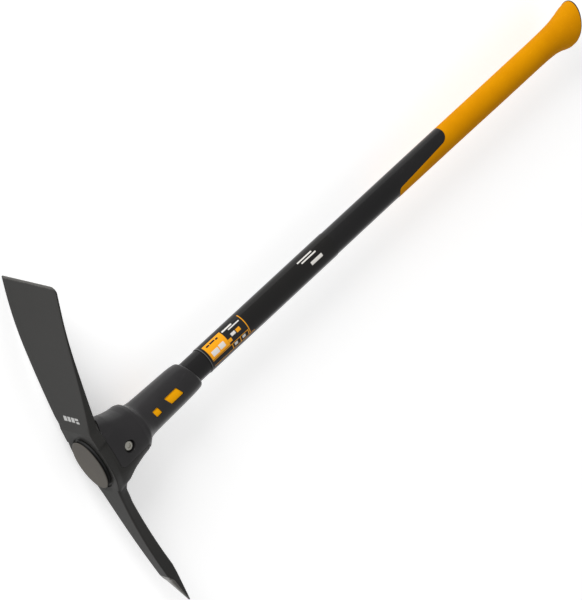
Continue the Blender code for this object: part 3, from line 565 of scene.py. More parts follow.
def adze_blade():
    """The blade as sections across Y from inside the barrel to its edge: four-sided, with small
    rounded corners. Both ends of the cutting edge are rounded off, and the edge is skewed."""
    near_edge = 0.0100
    towards = stretches(ADZE_JOIN, 100, 0.0900, 70, ADZE_REACH - near_edge)[:-1]
    y = np.concatenate([towards, ADZE_REACH - near_edge * (1 - np.linspace(0, 1, 26) ** 0.6)])
    front, thick, half = adze_front(y), adze_thickness(y), adze_half_width(y)

    def corner_cut(size):
        return size * (1 - np.sqrt(1 - share_of(ADZE_REACH - size, ADZE_REACH, y) ** 2))

    low, high = -half + corner_cut(EDGE_SHARP_ROUND), half - corner_cut(EDGE_ROUND)
    back = front + thick
    corners = np.moveaxis(np.array([[front, high], [front, low], [back, low], [back, high]]), -1, 0)
    radius = np.minimum(ADZE_CORNER, 0.42 * thick)[:, None]
    straight = (FACE_STEPS, CORNER_STEPS, FACE_STEPS, CORNER_STEPS)
    points, _ = blade_sections(y, corners, radius, straight, ADZE_FILLET)
    skew = smooth(ADZE_REACH - 0.060, ADZE_REACH, y)[:, None] * EDGE_SKEW
    points[..., 1] -= skew * (points[..., 2] / ADZE_HALF_WIDTH + 1) / 2
    worn = np.exp(-((ADZE_REACH - y) / 0.004))[:, None]
    return skin("adze_blade", points, sharp=50.0, edge=worn, ground=0.0)


def pick_arc(reach):
    past = np.maximum(0.0, reach - PICK_STRAIGHT)
    return HEAD_FACE + PICK_CURVE - np.sqrt(PICK_CURVE**2 - past**2)


def pick_front(reach):
    start = PICK_REACH - PICK_POINT_LENGTH
    share = np.maximum(0.0, reach - start) / PICK_POINT_LENGTH
    level = pick_arc(np.minimum(reach, start))
    return level + (HEAD_FACE + PICK_TIP_DROP - pick_arc(start)) * share


def pick_back(reach):
    start = PICK_REACH - PICK_BACK_LENGTH
    root = share_of(PICK_ROOT, PICK_JOIN, reach)
    blend = smooth(PICK_ROOT + PICK_BLEND, PICK_ROOT, reach)
    along = share_of(PICK_ROOT + PICK_BLEND, start, reach)
    thick = PICK_THICKNESS + (PICK_END_THICKNESS - PICK_THICKNESS) * along
    thick = thick + (PICK_ROOT_THICKNESS - PICK_THICKNESS) * blend
    thick = thick + (PICK_JOIN_THICKNESS - PICK_ROOT_THICKNESS) * root**PICK_FILLET
    share = share_of(start, PICK_REACH, reach)
    back_start = pick_arc(start) + PICK_END_THICKNESS
    back_tip = HEAD_FACE + PICK_TIP_DROP + PICK_TIP_SIZE[0]
    return np.where(reach < start, pick_arc(reach) + thick, back_start + (back_tip - back_start) * share)


def pick_half_width(reach):
    start = PICK_REACH - PICK_POINT_LENGTH
    root = share_of(PICK_ROOT, PICK_JOIN, reach)
    away = share_of(start, PICK_ROOT, reach)
    wide = PICK_END_HALF_WIDTH + (PICK_ROOT_HALF_WIDTH - PICK_END_HALF_WIDTH) * away**PICK_TAPER
    wide = wide + (PICK_JOIN_HALF_WIDTH - PICK_ROOT_HALF_WIDTH) * root
    share = share_of(start, PICK_REACH, reach)
    return wide + (PICK_TIP_SIZE[1] - PICK_END_HALF_WIDTH) * share


def pick_arm():
    """The pick as sections across Y from inside the barrel to its point: wider in front than
    behind, corners rounded. Its point is ground on the front and the front corners, which the
    value ground marks."""
    start = PICK_REACH - PICK_POINT_LENGTH
    reach = stretches(PICK_JOIN, 100, 0.0900, 60, start - 0.0065, 16, start + 0.0010, 40, PICK_REACH)
    front, back, wide = pick_front(reach), pick_back(reach), pick_half_width(reach)
    narrow = PICK_BACK_SHARE * wide
    corners = np.moveaxis(np.array([[front, wide], [front, -wide], [back, -narrow], [back, narrow]]), -1, 0)
    soft = np.minimum(PICK_CORNER, 0.30 * narrow)
    bevelled = np.minimum(GRIND_BEVEL * (back - front), 0.92 * wide)
    front_round = soft + (bevelled - soft) * smooth(start - 0.0060, start + 0.0060, reach)
    back_round = np.minimum(soft, 0.25 * (back - front))
    radius = np.stack([front_round, front_round, back_round, back_round], axis=1)
    points, normal = blade_sections(-reach, corners, radius, (FACE_STEPS, 10, 12, 10), PICK_FILLET_WIDTH)
    ground = smooth(start - GRIND_LEAD, start - GRIND_LEAD + 0.0010, reach)
    worn = smooth(PICK_REACH - 0.012, PICK_REACH, reach)[:, None]
    shine = ground[:, None] * (normal[..., 0] < -0.06)
    return skin("pick_arm", points, sharp=28.0, edge=worn, ground=shine)


def barrel():
    """The barrel as rings along X, rounded at its front rim. A fillet runs it into both blades:
    each point rises along the barrel's normal by its distance from the blade's faces."""
    back, inset = quarter(BARREL_ROUND, 7)
    side_x = np.linspace(HEAD_FACE + BARREL_ROUND, NOTCH_END - GAP, 90)[1:]
    x = np.concatenate([HEAD_FACE + back, side_x])
    inset = np.concatenate([inset, np.zeros(len(side_x))])
    size = barrel_size(x)
    rings = ovals(x, size[:, 0] - inset, size[:, 1] - inset, size[:, 2])
    _, normal_y, normal_z = oval_distance(rings, size[:, :1], size[:, 1:2], size[:, 2:])
    reach = np.abs(rings[..., 1])
    adze_gap = np.maximum(
        rings[..., 0] - adze_front(reach) - adze_thickness(reach),
        np.abs(rings[..., 2]) - adze_half_width(reach),
    )
    along_pick = np.maximum(reach, PICK_JOIN)
    behind = pick_back(along_pick)
    depth = np.clip((rings[..., 0] - HEAD_FACE) / (behind - HEAD_FACE), 0, 1)
    pick_gap = np.maximum(
        rings[..., 0] - behind,
        np.abs(rings[..., 2]) - pick_half_width(along_pick) * (1 - (1 - PICK_BACK_SHARE) * depth),
    )
    rise = np.where(
        rings[..., 1] > 0,
        fillet(np.maximum(adze_gap, 0.0), ADZE_FILLET),
        fillet(np.maximum(pick_gap, 0.0), PICK_FILLET_WIDTH),
    )
    rise = rise * smooth(0.35, 0.9, np.abs(normal_y)) * smooth(HEAD_FACE, HEAD_FACE + 0.004, rings[..., 0])
    rings[..., 1] += rise * normal_y
    rings[..., 2] += rise * normal_z
    return skin("head_forging.look", rings, sharp=50.0, edge=0.0, ground=0.0)


def boot_relief():
    """What the boot takes from the barrel: a shell along the collar's outline, open at the notch."""
    cover = np.array(BOOT_WALL) + GAP
    rim, past_end = BOOT_RIM - GAP, NOTCH_END + CLEAR
    x = np.linspace(rim, SOCKET_END, 40)
    rise = BOOT_RIM_RISE * smooth(rim + BOOT_RELIEF_LENGTH, rim, x)
    inner = collar_rings(x, cover, rise)
    stub = ovals([SOCKET_END, past_end], 0.002, 0.002)
    outer_x = np.concatenate([[past_end], x[::-1]])
    outer = collar_rings(outer_x, (-3 * CLEAR, -3 * CLEAR), np.concatenate([[0.0], rise[::-1]]))
    relief = skin("boot_relief", np.concatenate([inner, stub, outer]), looped=True)
    return cut(relief, prism("notch_fill", notch_outline(GAP)))


def head_forging():
    """Barrel with both blades joined on, then cut for the boot, the cap's seat and the eye."""
    seat_half = np.array(EYE_FRONT) + CAP_OVERHANG + SEAT_CLEARANCE
    lip_x = HEAD_FACE + SEAT_LIP * np.array([-1.0, 0.0, 0.5, 1.0])
    seat_x = np.concatenate([[HEAD_FACE - 0.02], lip_x, [SEAT_FLOOR]])
    seat_out = SEAT_LIP * np.array([2.0, 2.0, 1.0, 0.35, 0.0, 0.0])
    seat = skin("cap_seat", ovals(seat_x, seat_half[0] + seat_out, seat_half[1] + seat_out))
    ends = np.array([HEAD_FACE - CLEAR, NOTCH_END + CLEAR])
    eye = skin("eye_hole", ovals(ends, *eye_half(ends).T))
    hole = drill("head_cross_hole", SCREW_RADIUS + 2 * GAP)
    body = relaxed(joined(barrel(), [("UNION", adze_blade()), ("UNION", pick_arm())]))
    return cut(body, boot_relief(), seat, eye, hole, sharp=50.0)


def plate(half, crown, rim, thick, stem, stem_length, steps):
    """Rings of an oval plate with a stem behind it, from its face inwards along X: the face drops by
    crown s^2 at the share s of its half sizes, and its rim is a quarter circle of radius rim."""
    face_steps, rim_steps = steps
    share = np.linspace(0.15, 1.0, face_steps)
    face = ovals(crown * share**2, *((half - rim) * share[:, None]).T)
    drop, inset = (row[1:] for row in quarter(rim, rim_steps))
    edge = ovals(crown + drop, half[0] - inset, half[1] - inset)
    back_half = np.array([half, stem, stem])
    back = ovals([thick, thick, thick + stem_length], *back_half.T)
    return np.concatenate([face, edge, back])


def eye_cap():
    """Oval cap over the eye."""
    half = np.array(EYE_FRONT) + CAP_OVERHANG
    rings = plate(half, CAP_CROWN, CAP_ROUND, CAP_THICKNESS, CAP_STEM, CAP_STEM_LENGTH, (24, 9))
    return skin("eye_cap.look", rings, sharp=60.0)


def cap_ring():
    """Black rubber ring under the cap, with a soft outer edge."""
    outer = np.array(EYE_FRONT) + CAP_OVERHANG - RING_INSET
    inner = np.array(EYE_FRONT) - LINER_WALL
    low, high = CAP_THICKNESS + GAP, SEAT_FLOOR - GAP
    x = [low, low, low + RING_ROUND, high - RING_ROUND, high, high]
    half = np.array([inner, outer - RING_ROUND, outer, outer, outer - RING_ROUND, inner])
    return skin("cap_ring.look", ovals(x, *half.T), looped=True)


# ---------------------------------------------------------------- collar and its inner sleeve

def window_outline(window, gap=0.0):
    """A window seen along Z: straight sides along the handle, slanting ends, rounded corners."""
    past, length, width, slant = window
    half_x, half_y, lean = length / 2 - gap, width / 2 - gap, slant / 2
    corners = np.array([[
        (half_x + lean, -half_y), (half_x - lean, half_y),
        (-half_x - lean, half_y), (-half_x + lean, -half_y),
    ]])
    outline = rounded(corners, WINDOW_ROUND, (4, 4, 4, 4))[0]
    return outline + np.array([SOCKET_END + past, WINDOW_SIDE])


def screw_floor():
    """Height of the recess's floor above the handle's axis."""
    return collar_size(np.array([SCREW_X]))[0, 1] - BOOT_WALL[1] + RECESS_FLOOR


def rim_rise(x):
    """How far the boot's rim is lifted on the adze side, dying away along X."""
    return BOOT_RIM_RISE * share_of(BOOT_RIM + BOOT_RISE_LENGTH, BOOT_RIM, x) ** 1.5


def window_cuts(kind, gap, reach):
    """A prism for each window on both sides, from reach above the axis outwards."""
    for name, window in (("large", LARGE_WINDOW), ("small", SMALL_WINDOW)):
        outline = window_outline(window, gap)
        for side, low, high in (("near", reach, BEYOND), ("far", -BEYOND, -reach)):
            yield prism(f"{kind}_{name}_{side}", outline, low, high)


def collar():
    """Boot and sleeve in one moulding, with a rounded rim and mouth. It is open towards the pick,
    and has windows and a recess for the screw's head."""
    back, inset = quarter(COLLAR_LIP, 6)
    body_x = np.linspace(BOOT_RIM + COLLAR_LIP, MOUTH, 190)[1:]
    x = np.concatenate([BOOT_RIM + back, body_x])
    inset = np.concatenate([inset, np.zeros(len(body_x))])
    outer = collar_rings(x, np.stack([inset, inset], -1), rim_rise(x))
    neck = np.array(SHAFT) + GAP
    bore = neck + INSULATION_WALL + GAP
    cavity_end = SOCKET_END + GAP
    bore_half = np.array([neck, neck, bore, bore])
    sleeve = ovals([MOUTH, NECK_START, NECK_START, cavity_end], *bore_half.T, tilt=[MOUTH_TILT, 0, 0, 0])
    inner_x = np.linspace(cavity_end, BOOT_RIM, 40)
    inner = collar_rings(inner_x, BOOT_WALL, rim_rise(inner_x))
    body = skin("collar.look", np.concatenate([outer, sleeve, inner]), looped=True, sharp=50.0)
    floor = screw_floor()
    wide = SCREW_HEAD_RADIUS + RECESS_CLEARANCE
    top = floor + BOOT_WALL[1] - RECESS_FLOOR
    recess = turned("screw_recess", [
        (wide, floor), (wide, top - 0.0006), (wide + 0.0002, top - 0.0002),
        (wide + RECESS_LIP, top + 0.0006), (wide + RECESS_LIP, BEYOND),
    ])
    pocket = drill("nut_pocket", hexagon(NUT_HALF_FLATS + GAP), high=-floor, sides=6)
    hole = drill("collar_cross_hole", SCREW_RADIUS + GAP)
    notch = prism("boot_notch", notch_outline(0.0))
    windows = window_cuts("window", 0.0, SHAFT[1] / 2)
    return cut(body, notch, *windows, recess, pocket, hole, sharp=38.0)


def insulation_sleeve():
    """Orange sleeve inside the collar, with a pad standing into each window."""
    start, end = SHAFT_START + GAP, NECK_START - GAP
    half = np.array(SHAFT) + GAP + INSULATION_WALL
    sleeve = skin("insulation_sleeve.look", ovals([start, end], half[0], half[1]))
    pads = []
    for pad in window_cuts("pad", GAP, SHAFT[1] - SHAFT_WALL):
        limit = skin("pad_limit", collar_rings(np.linspace(start, end - GAP, 60), PAD_DEPTH))
        pads.append(joined(pad, [("INTERSECT", limit)]))
    bore = skin("sleeve_bore", ovals([start - BEYOND, end + BEYOND], *(np.array(SHAFT) + GAP)))
    return joined(sleeve, [*(("UNION", pad) for pad in pads), ("DIFFERENCE", bore)])


def collar_screw():
    """Button-head screw with a hexagon socket. Its head's radius is R (1 - 0.42 s^2.6) and its
    height H sin(90 s)^0.9, for s from 0 at the seat to 1 at the top."""
    seat = screw_floor() + GAP
    tip = -seat - NUT_HEIGHT + 2 * GAP
    share = np.linspace(0.0, 1.0, 14)
    radius = SCREW_HEAD_RADIUS * (1 - 0.42 * share**2.6)
    dome = np.column_stack([radius, seat + SCREW_HEAD_HEIGHT * np.sin(share * np.pi / 2) ** 0.9])
    shank = [(SCREW_RADIUS - SCREW_CHAMFER, tip), (SCREW_RADIUS, tip + SCREW_CHAMFER), (SCREW_RADIUS, seat)]
    screw = turned("collar_screw.look", np.vstack([shank, dome]))
    corner = hexagon(SCREW_SOCKET)
    mouth = corner + SOCKET_CHAMFER
    top = seat + SCREW_HEAD_HEIGHT
    socket = turned("screw_socket", [
        (corner, top - SCREW_SOCKET_DEPTH), (corner, top - GAP), (mouth, top + GAP), (mouth, BEYOND),
    ], sides=6)
    return cut(screw, socket)


# ---------------------------------------------------------------- shaft, film and grip

def tongue_front(gap=0.0):
    """The shaft in front of the grip, seen along Z: the tongue reaches further on the pick side."""
    front, tip = GRIP_FRONT - gap, TONGUE_TIP - gap
    root_side, tip_side = TONGUE_SIDE[0] + gap, TONGUE_SIDE[1] + gap
    big, small = TONGUE_ROUND[0] - gap, TONGUE_ROUND[1] + gap
    return np.vstack([
        [(tip - 2 * BEYOND, BEYOND), (front, BEYOND)],
        outline_arc((front - big, root_side + big), big, 0, -90, 24),
        outline_arc((tip + small, tip_side - small), small, 90, 180, 16),
        [(tip, -BEYOND), (tip - 2 * BEYOND, -BEYOND)],
    ])


def tube(name, low, high, outer, inner, count=40):
    """A tube from the half sizes of its outside and its bore."""
    x = np.linspace(low, high, count)
    return skin(name, np.concatenate([ovals(x, *outer), ovals(x[::-1], *inner)]), looped=True)


def shaft_tube():
    """Outer tube of the handle, let down where the grip sits on it."""
    shaft_half = np.array(SHAFT)
    shaft = tube("shaft_tube.look", SHAFT_START, SHAFT_END, shaft_half, shaft_half - SHAFT_WALL)
    outer, inner = shaft_half + GRIP_SEAT, shaft_half - GRIP_SEAT
    seat = tube("grip_seat", TONGUE_TIP - BEYOND, SHAFT_END + BEYOND, outer, inner, 2)
    return cut(shaft, cut(seat, prism("seat_front", tongue_front(GAP))))


def label_film():
    """Printed film wrapped round the shaft."""
    inner = np.array(SHAFT) + GAP
    return tube("label_film.look", FILM_START, FILM_END, inner + FILM_WALL, inner, 24)


def grip_rings(count, inset=0.0, first=0.0):
    """Rings of the grip's outer shape, smoothly through its rows up to the knob's end."""
    end_back = (BUTT_CAP_THICKNESS + GAP) / math.cos(math.radians(BUTT_TILT))
    knob_end = [end_back, BUTT_Y, BUTT_TILT, BUTT_FLARE[0] + GAP, BUTT_FLARE[1] + GAP]
    rows = np.vstack([GRIP_OUTLINE, knob_end])
    x_rows = BUTT_X - rows[:, 0]
    low = max(first, x_rows[0])
    x = low + (x_rows[-1] - low) * np.linspace(0.0, 1.0, count) ** 0.6
    middle, tilt, wall_y, wall_z = through(x_rows, rows[:, 1:], x).T
    return ovals(x, SHAFT[0] + wall_y - inset, SHAFT[1] + wall_z - inset, y=middle, tilt=tilt)


def grip():
    """Moulded grip: a sleeve with a tongue towards the head, and a leaning flared knob."""
    outer = grip_rings(170)
    hollow = grip_rings(30, KNOB_WALL, SHAFT_END)[::-1]
    seat = np.array(SHAFT) + GAP - GRIP_SEAT
    bore = ovals([SHAFT_END + 2 * GAP, BUTT_X - GRIP_OUTLINE[0][0]], *seat)
    body = skin("grip.look", np.concatenate([outer, hollow, bore]), looped=True, sharp=50.0)
    return cut(body, prism("grip_front", tongue_front()), sharp=45.0)


def butt_cap():
    """Thin oval cap on the knob's leaning end."""
    tilt = math.radians(BUTT_TILT)
    half = np.array([(SHAFT[0] + BUTT_FLARE[0]) / math.cos(tilt), SHAFT[1] + BUTT_FLARE[1]])
    rings = plate(half, BUTT_CAP_CROWN, BUTT_CAP_ROUND, BUTT_CAP_THICKNESS, CAP_PEG, CAP_PEG_LENGTH, (20, 7))
    rings[..., 0] *= -1
    lean = np.array(Matrix.Rotation(-tilt, 3, "Z"))
    return skin("butt_cap.look", rings @ lean.T + np.array([BUTT_X, BUTT_Y, 0.0]), sharp=60.0)


# ---------------------------------------------------------------- materials

class Graph:
    """Short ways to add nodes to a material's or a group's tree."""

    def __init__(self, tree):
        self.tree = tree

    def node(self, kind, values=None, **settings):
        """A new node with these settings, and a value or a link for each named or numbered input."""
        made = self.tree.nodes.new(kind)
        for key, value in settings.items():
            setattr(made, key, value)
        for key, value in (values or {}).items():
            self.feed(made.inputs[key], value)
        return made

    def feed(self, socket, value):
        if isinstance(value, bpy.types.NodeSocket):
            self.tree.links.new(value, socket)
        else:
            socket.default_value = value

    def math(self, operation, *values, clamp=False):
        made = self.node("ShaderNodeMath", operation=operation, use_clamp=clamp)
        for socket, value in zip(made.inputs, values):
            self.feed(socket, value)
        return made.outputs[0]

    def total(self, *values):
        result = values[0]
        for value in values[1:]:
            result = self.math("ADD", result, value)
        return result

    def scaled(self, vector, factors):
        values = {0: vector, 1: factors}
        return self.node("ShaderNodeVectorMath", values, operation="MULTIPLY").outputs[0]

    def noise(self, vector, scale, detail=2.0, roughness=0.5):
        values = {"Vector": vector, "Scale": scale, "Detail": detail, "Roughness": roughness}
        return self.node("ShaderNodeTexNoise", values).outputs["Fac"]

    def ramp(self, value, low, high):
        values = {"Value": value, "From Min": low, "From Max": high}
        return self.node("ShaderNodeMapRange", values, interpolation_type="SMOOTHSTEP").outputs["Result"]

    def blend(self, share, first, second):
        values = {0: share, 6: first, 7: second}
        return self.node("ShaderNodeMix", values, data_type="RGBA", clamp_factor=True).outputs[2]

    def value_of(self, attribute):
        return self.node("ShaderNodeAttribute", attribute_name=attribute).outputs["Fac"]

    def use(self, group, **values):
        made = self.node("ShaderNodeGroup", node_tree=group)
        for key, value in values.items():
            self.feed(made.inputs[key.replace("_", " ")], value)
        return made.outputs


VECTOR, SCALE = ("Vector", "NodeSocketVector"), ("Scale", "NodeSocketFloat")


def shader_group(name, inputs, outputs):
    """An empty shader node group with named sockets, and the Graph, input and output nodes of it."""
    tree = bpy.data.node_groups.new(name, "ShaderNodeTree")
    for label, kind in inputs:
        tree.interface.new_socket(label, in_out="INPUT", socket_type=kind)
    for label in outputs:
        tree.interface.new_socket(label, in_out="OUTPUT", socket_type="NodeSocketFloat")
    graph = Graph(tree)
    return tree, graph, graph.node("NodeGroupInput").outputs, graph.node("NodeGroupOutput").inputs


def grain_group():
    """Surface grain: Height mixes a fine and a four times coarser noise, and Tone is a slow one."""
    tree, graph, inside, out = shader_group("surface_grain", [VECTOR, SCALE], ["Height", "Tone"])
    fine = graph.noise(inside["Vector"], inside["Scale"], 3.0, 0.6)
    coarse = graph.noise(inside["Vector"], graph.math("DIVIDE", inside["Scale"], 4.0), 2.0, 0.5)
    height = graph.math("ADD", graph.math("MULTIPLY", fine, 0.65), graph.math("MULTIPLY", coarse, 0.35))
    tone = graph.noise(inside["Vector"], graph.math("DIVIDE", inside["Scale"], 40.0), 3.0, 0.6)
    graph.feed(out["Height"], height)
    graph.feed(out["Tone"], tone)
    return tree


def scuff_group():
    """Handling marks: the crests of a noise stretched along one direction, broken up by another."""
    inputs = [VECTOR, SCALE, ("Amount", "NodeSocketFloat")]
    tree, graph, inside, out = shader_group("scuffs", inputs, ["Mask"])
    stretched = graph.scaled(inside["Vector"], (1.0, 9.0, 4.0))
    lines = graph.noise(stretched, inside["Scale"], 5.0, 0.65)
    patches = graph.noise(inside["Vector"], graph.math("MULTIPLY", inside["Scale"], 0.35), 2.0, 0.5)
    mask = graph.math("MULTIPLY", graph.ramp(lines, 0.56, 0.72), graph.ramp(patches, 0.45, 0.65))
    graph.feed(out["Mask"], graph.math("MULTIPLY", mask, inside["Amount"], clamp=True))
    return tree


def wear_group():
    """Edge wear: the piece's edge value, eaten into by noise, so that the rubbed line is uneven."""
    inputs = [("Edge", "NodeSocketFloat"), VECTOR, SCALE]
    tree, graph, inside, out = shader_group("edge_wear", inputs, ["Mask"])
    uneven = graph.noise(inside["Vector"], inside["Scale"], 4.0, 0.7)
    eaten = graph.math("MULTIPLY", inside["Edge"], graph.math("ADD", uneven, 0.35))
    graph.feed(out["Mask"], graph.ramp(eaten, 0.38, 0.62))
    return tree


def bar_group():
    """A printed bar: 1 inside a rectangle of the two coordinates, with edges as soft as Soft."""
    labels = ["Along", "Across", "Middle Along", "Middle Across", "Half Length", "Half Width", "Soft"]
    inputs = [(label, "NodeSocketFloat") for label in labels]
    tree, graph, inside, out = shader_group("printed_bar", inputs, ["Mask"])
    sides = []
    for place, middle, half in (labels[0:6:2], labels[1:6:2]):
        away = graph.math("ABSOLUTE", graph.math("SUBTRACT", inside[place], inside[middle]))
        past = graph.math("DIVIDE", graph.math("SUBTRACT", inside[half], away), inside["Soft"])
        sides.append(graph.math("ADD", past, 0.5, clamp=True))
    graph.feed(out["Mask"], graph.math("MULTIPLY", *sides))
    return tree


GRAIN, SCUFFS, WEAR, BAR = grain_group(), scuff_group(), wear_group(), bar_group()


def finish(name, colour, dark, roughness, rough_spread, grain_scale, bump,
           metallic=0.0, scuffs=0.0, specular=0.5):
    """A surface whose colour drifts between two tones, with grain in its height and roughness, and
    rubbed marks. Gives the material, its Graph, its shader and the sockets that more is added to."""
    made = bpy.data.materials.new(name)
    made.use_nodes = True
    graph = Graph(made.node_tree)
    shader = made.node_tree.nodes["Principled BSDF"].inputs
    place = graph.node("ShaderNodeTexCoord").outputs["Object"]
    grain = graph.use(GRAIN, Vector=place, Scale=grain_scale)
    marks = graph.use(SCUFFS, Vector=place, Scale=SCUFF_SCALE, Amount=scuffs)["Mask"]
    tint = graph.blend(graph.ramp(grain["Tone"], 0.30, 0.70), (*dark, 1.0), (*colour, 1.0))
    lighter = tuple(min(1.0, 1.6 * c + 0.01) for c in colour)
    tint = graph.blend(graph.math("MULTIPLY", marks, 0.5), tint, (*lighter, 1.0))
    uneven = graph.math("MULTIPLY", graph.math("SUBTRACT", grain["Tone"], 0.5), rough_spread)
    rough = graph.total(roughness, uneven, graph.math("MULTIPLY", marks, 0.08))
    relief = graph.node("ShaderNodeBump", {"Height": grain["Height"], "Strength": 1.0, "Distance": bump})
    graph.feed(shader["Base Color"], tint)
    graph.feed(shader["Roughness"], rough)
    graph.feed(shader["Normal"], relief.outputs[0])
    shader["Metallic"].default_value = metallic
    shader["Specular IOR Level"].default_value = specular
    where = graph.node("ShaderNodeSeparateXYZ", {0: place}).outputs
    part = {"place": place, "where": where, "tint": tint, "rough": rough, "relief": relief.outputs[0]}
    return made, graph, shader, part


def bars(graph, along, across, rows, soft):
    """The masks of several printed bars, added up."""
    masks = []
    for middle_along, middle_across, half_length, half_width in rows:
        masks.append(graph.use(
            BAR, Along=along, Across=across, Middle_Along=middle_along, Middle_Across=middle_across,
            Half_Length=half_length, Half_Width=half_width, Soft=soft,
        )["Mask"])
    return graph.total(*masks)


def head_finish():
    """Dark satin coating over forged steel, rubbed at the edges, with the pick's point ground bright
    and a row of plain marks printed on the adze's root."""
    made, graph, shader, part = finish(
        "coated_forging", (0.0232, 0.0225, 0.0210), (0.0188, 0.0183, 0.0170), 0.50, 0.16, 620.0, 0.00010,
        scuffs=0.5, specular=0.18,
    )
    where = part["where"]
    worn = graph.use(WEAR, Edge=graph.value_of("edge"), Vector=part["place"], Scale=260.0)["Mask"]
    streaks = graph.noise(graph.scaled(part["place"], GRIND_STRETCH), 1.0, 3.0)
    steel = graph.blend(streaks, *GROUND_STEEL)
    rubbed = graph.math("MULTIPLY", worn, 0.55)
    tint = graph.blend(rubbed, part["tint"], RUBBED_STEEL)
    bright = graph.ramp(graph.value_of("ground"), 0.35, 0.65)
    tint = graph.blend(bright, tint, steel)
    front_side = graph.math("LESS_THAN", where["X"], MARKS_FRONT)
    marks = bars(graph, where["Z"], where["Y"], ROOT_MARKS, 0.0006)
    printed = graph.math("MULTIPLY", graph.math("MULTIPLY", marks, front_side), 0.75, clamp=True)
    graph.feed(shader["Base Color"], graph.blend(printed, tint, MARK_INK))
    graph.feed(shader["Metallic"], graph.math("MAXIMUM", bright, graph.math("MULTIPLY", rubbed, 0.6)))
    shiny = graph.math("MULTIPLY", bright, 0.22)
    graph.feed(shader["Roughness"], graph.math("SUBTRACT", part["rough"], shiny))
    return made


def cap_finish():
    """Grey coated plate with painted shade on its side: the side is coloured near black to stand in for the
    shadow in the gap under the cap's rim. The colour changes just behind the face's rounded rim.
    """
    made, graph, shader, part = finish(
        "grey_cap", (0.088, 0.079, 0.067), (0.072, 0.065, 0.056), 0.52, 0.18, 420.0, 0.00012,
        scuffs=0.6, specular=0.15,
    )
    # painted shade: near black on the cap's side, standing in for the shadow in the gap under its rim
    side = graph.ramp(part["where"]["X"], *CAP_PAINTED_SHADE)
    graph.feed(shader["Base Color"], graph.blend(side, part["tint"], (0.002, 0.002, 0.002, 1.0)))
    return made


def grip_finish():
    """Soft orange rubber with a fine leather-like grain, and small dimples in rows round the part
    that is held."""
    made, graph, shader, part = finish(
        "soft_orange", (0.570, 0.232, 0.0004), (0.530, 0.208, 0.0004), 0.60, 0.10, 900.0, 0.00006,
        scuffs=0.35, specular=0.02,
    )
    where = part["where"]
    turned_by = graph.math("MULTIPLY", graph.math("ARCTAN2", where["Y"], where["Z"]), SHAFT[1])
    unrolled = graph.node("ShaderNodeCombineXYZ", {0: where["X"], 1: turned_by, 2: 0.0}).outputs[0]
    values = {"Vector": unrolled, "Scale": DIMPLE_SCALE, "Randomness": 0.15}
    dimples = graph.node("ShaderNodeTexVoronoi", values, voronoi_dimensions="2D").outputs["Distance"]
    fade_in, fade_out = (graph.ramp(where["X"], *ends) for ends in DIMPLE_FADES)
    pits = graph.math("MULTIPLY", graph.ramp(dimples, 0.10, 0.45), graph.math("MULTIPLY", fade_in, fade_out))
    values = {"Height": pits, "Strength": 0.5, "Distance": DIMPLE_DEPTH, "Normal": part["relief"]}
    graph.feed(shader["Normal"], graph.node("ShaderNodeBump", values).outputs[0])
    return made


def film_finish():
    """Glossy film with the layers of FILM_PRINT over its black, one above the other. The print is
    generic, with no lettering."""
    made, graph, shader, part = finish(
        "printed_film", (0.0062, 0.0056, 0.0052), (0.0050, 0.0046, 0.0044), 0.20, 0.10, 500.0, 0.00002,
        scuffs=0.4, specular=0.30,
    )
    where = part["where"]
    turn = graph.math("MULTIPLY", graph.math("ARCTAN2", where["Y"], where["Z"]), math.degrees(1.0))
    along = graph.math("MULTIPLY", where["X"], 1000.0)
    tint = part["tint"]
    for ink, soft, rows in FILM_PRINT:
        tint = graph.blend(bars(graph, along, turn, rows, soft), tint, ink)
    graph.feed(shader["Base Color"], tint)
    return made


SCUFF_SCALE = 60.0

# The steel of the pick's point, ground along Y, and of the rubbed edges
GRIND_STRETCH = (40.0, 900.0, 40.0)
GROUND_STEEL = ((0.095, 0.092, 0.086, 1.0), (0.20, 0.194, 0.182, 1.0))
RUBBED_STEEL = (0.16, 0.155, 0.145, 1.0)

# Marks on the adze's root, in front of X = MARKS_FRONT: middle Z and Y, half sizes in Z and Y
MARKS_FRONT = 0.0200
MARK_INK = (0.55, 0.55, 0.54, 1.0)
ROOT_MARKS = (
    (-0.0105, 0.0640, 0.0032, 0.0032),
    (-0.0028, 0.0640, 0.0028, 0.0032),
    (0.0048, 0.0640, 0.0030, 0.0032),
    (0.0125, 0.0657, 0.0034, 0.0014),
    (0.0135, 0.0615, 0.0030, 0.0014),
)

# Along X, the cap turns from grey to the near-black painted shade of its side between these places
CAP_PAINTED_SHADE = (0.0010, 0.0013)

# The grip's dimples, which fade in and out between these pairs of places along X
DIMPLE_SCALE = 520.0
DIMPLE_DEPTH = 0.00012
DIMPLE_FADES = ((0.640, 0.665), (0.885, 0.860))

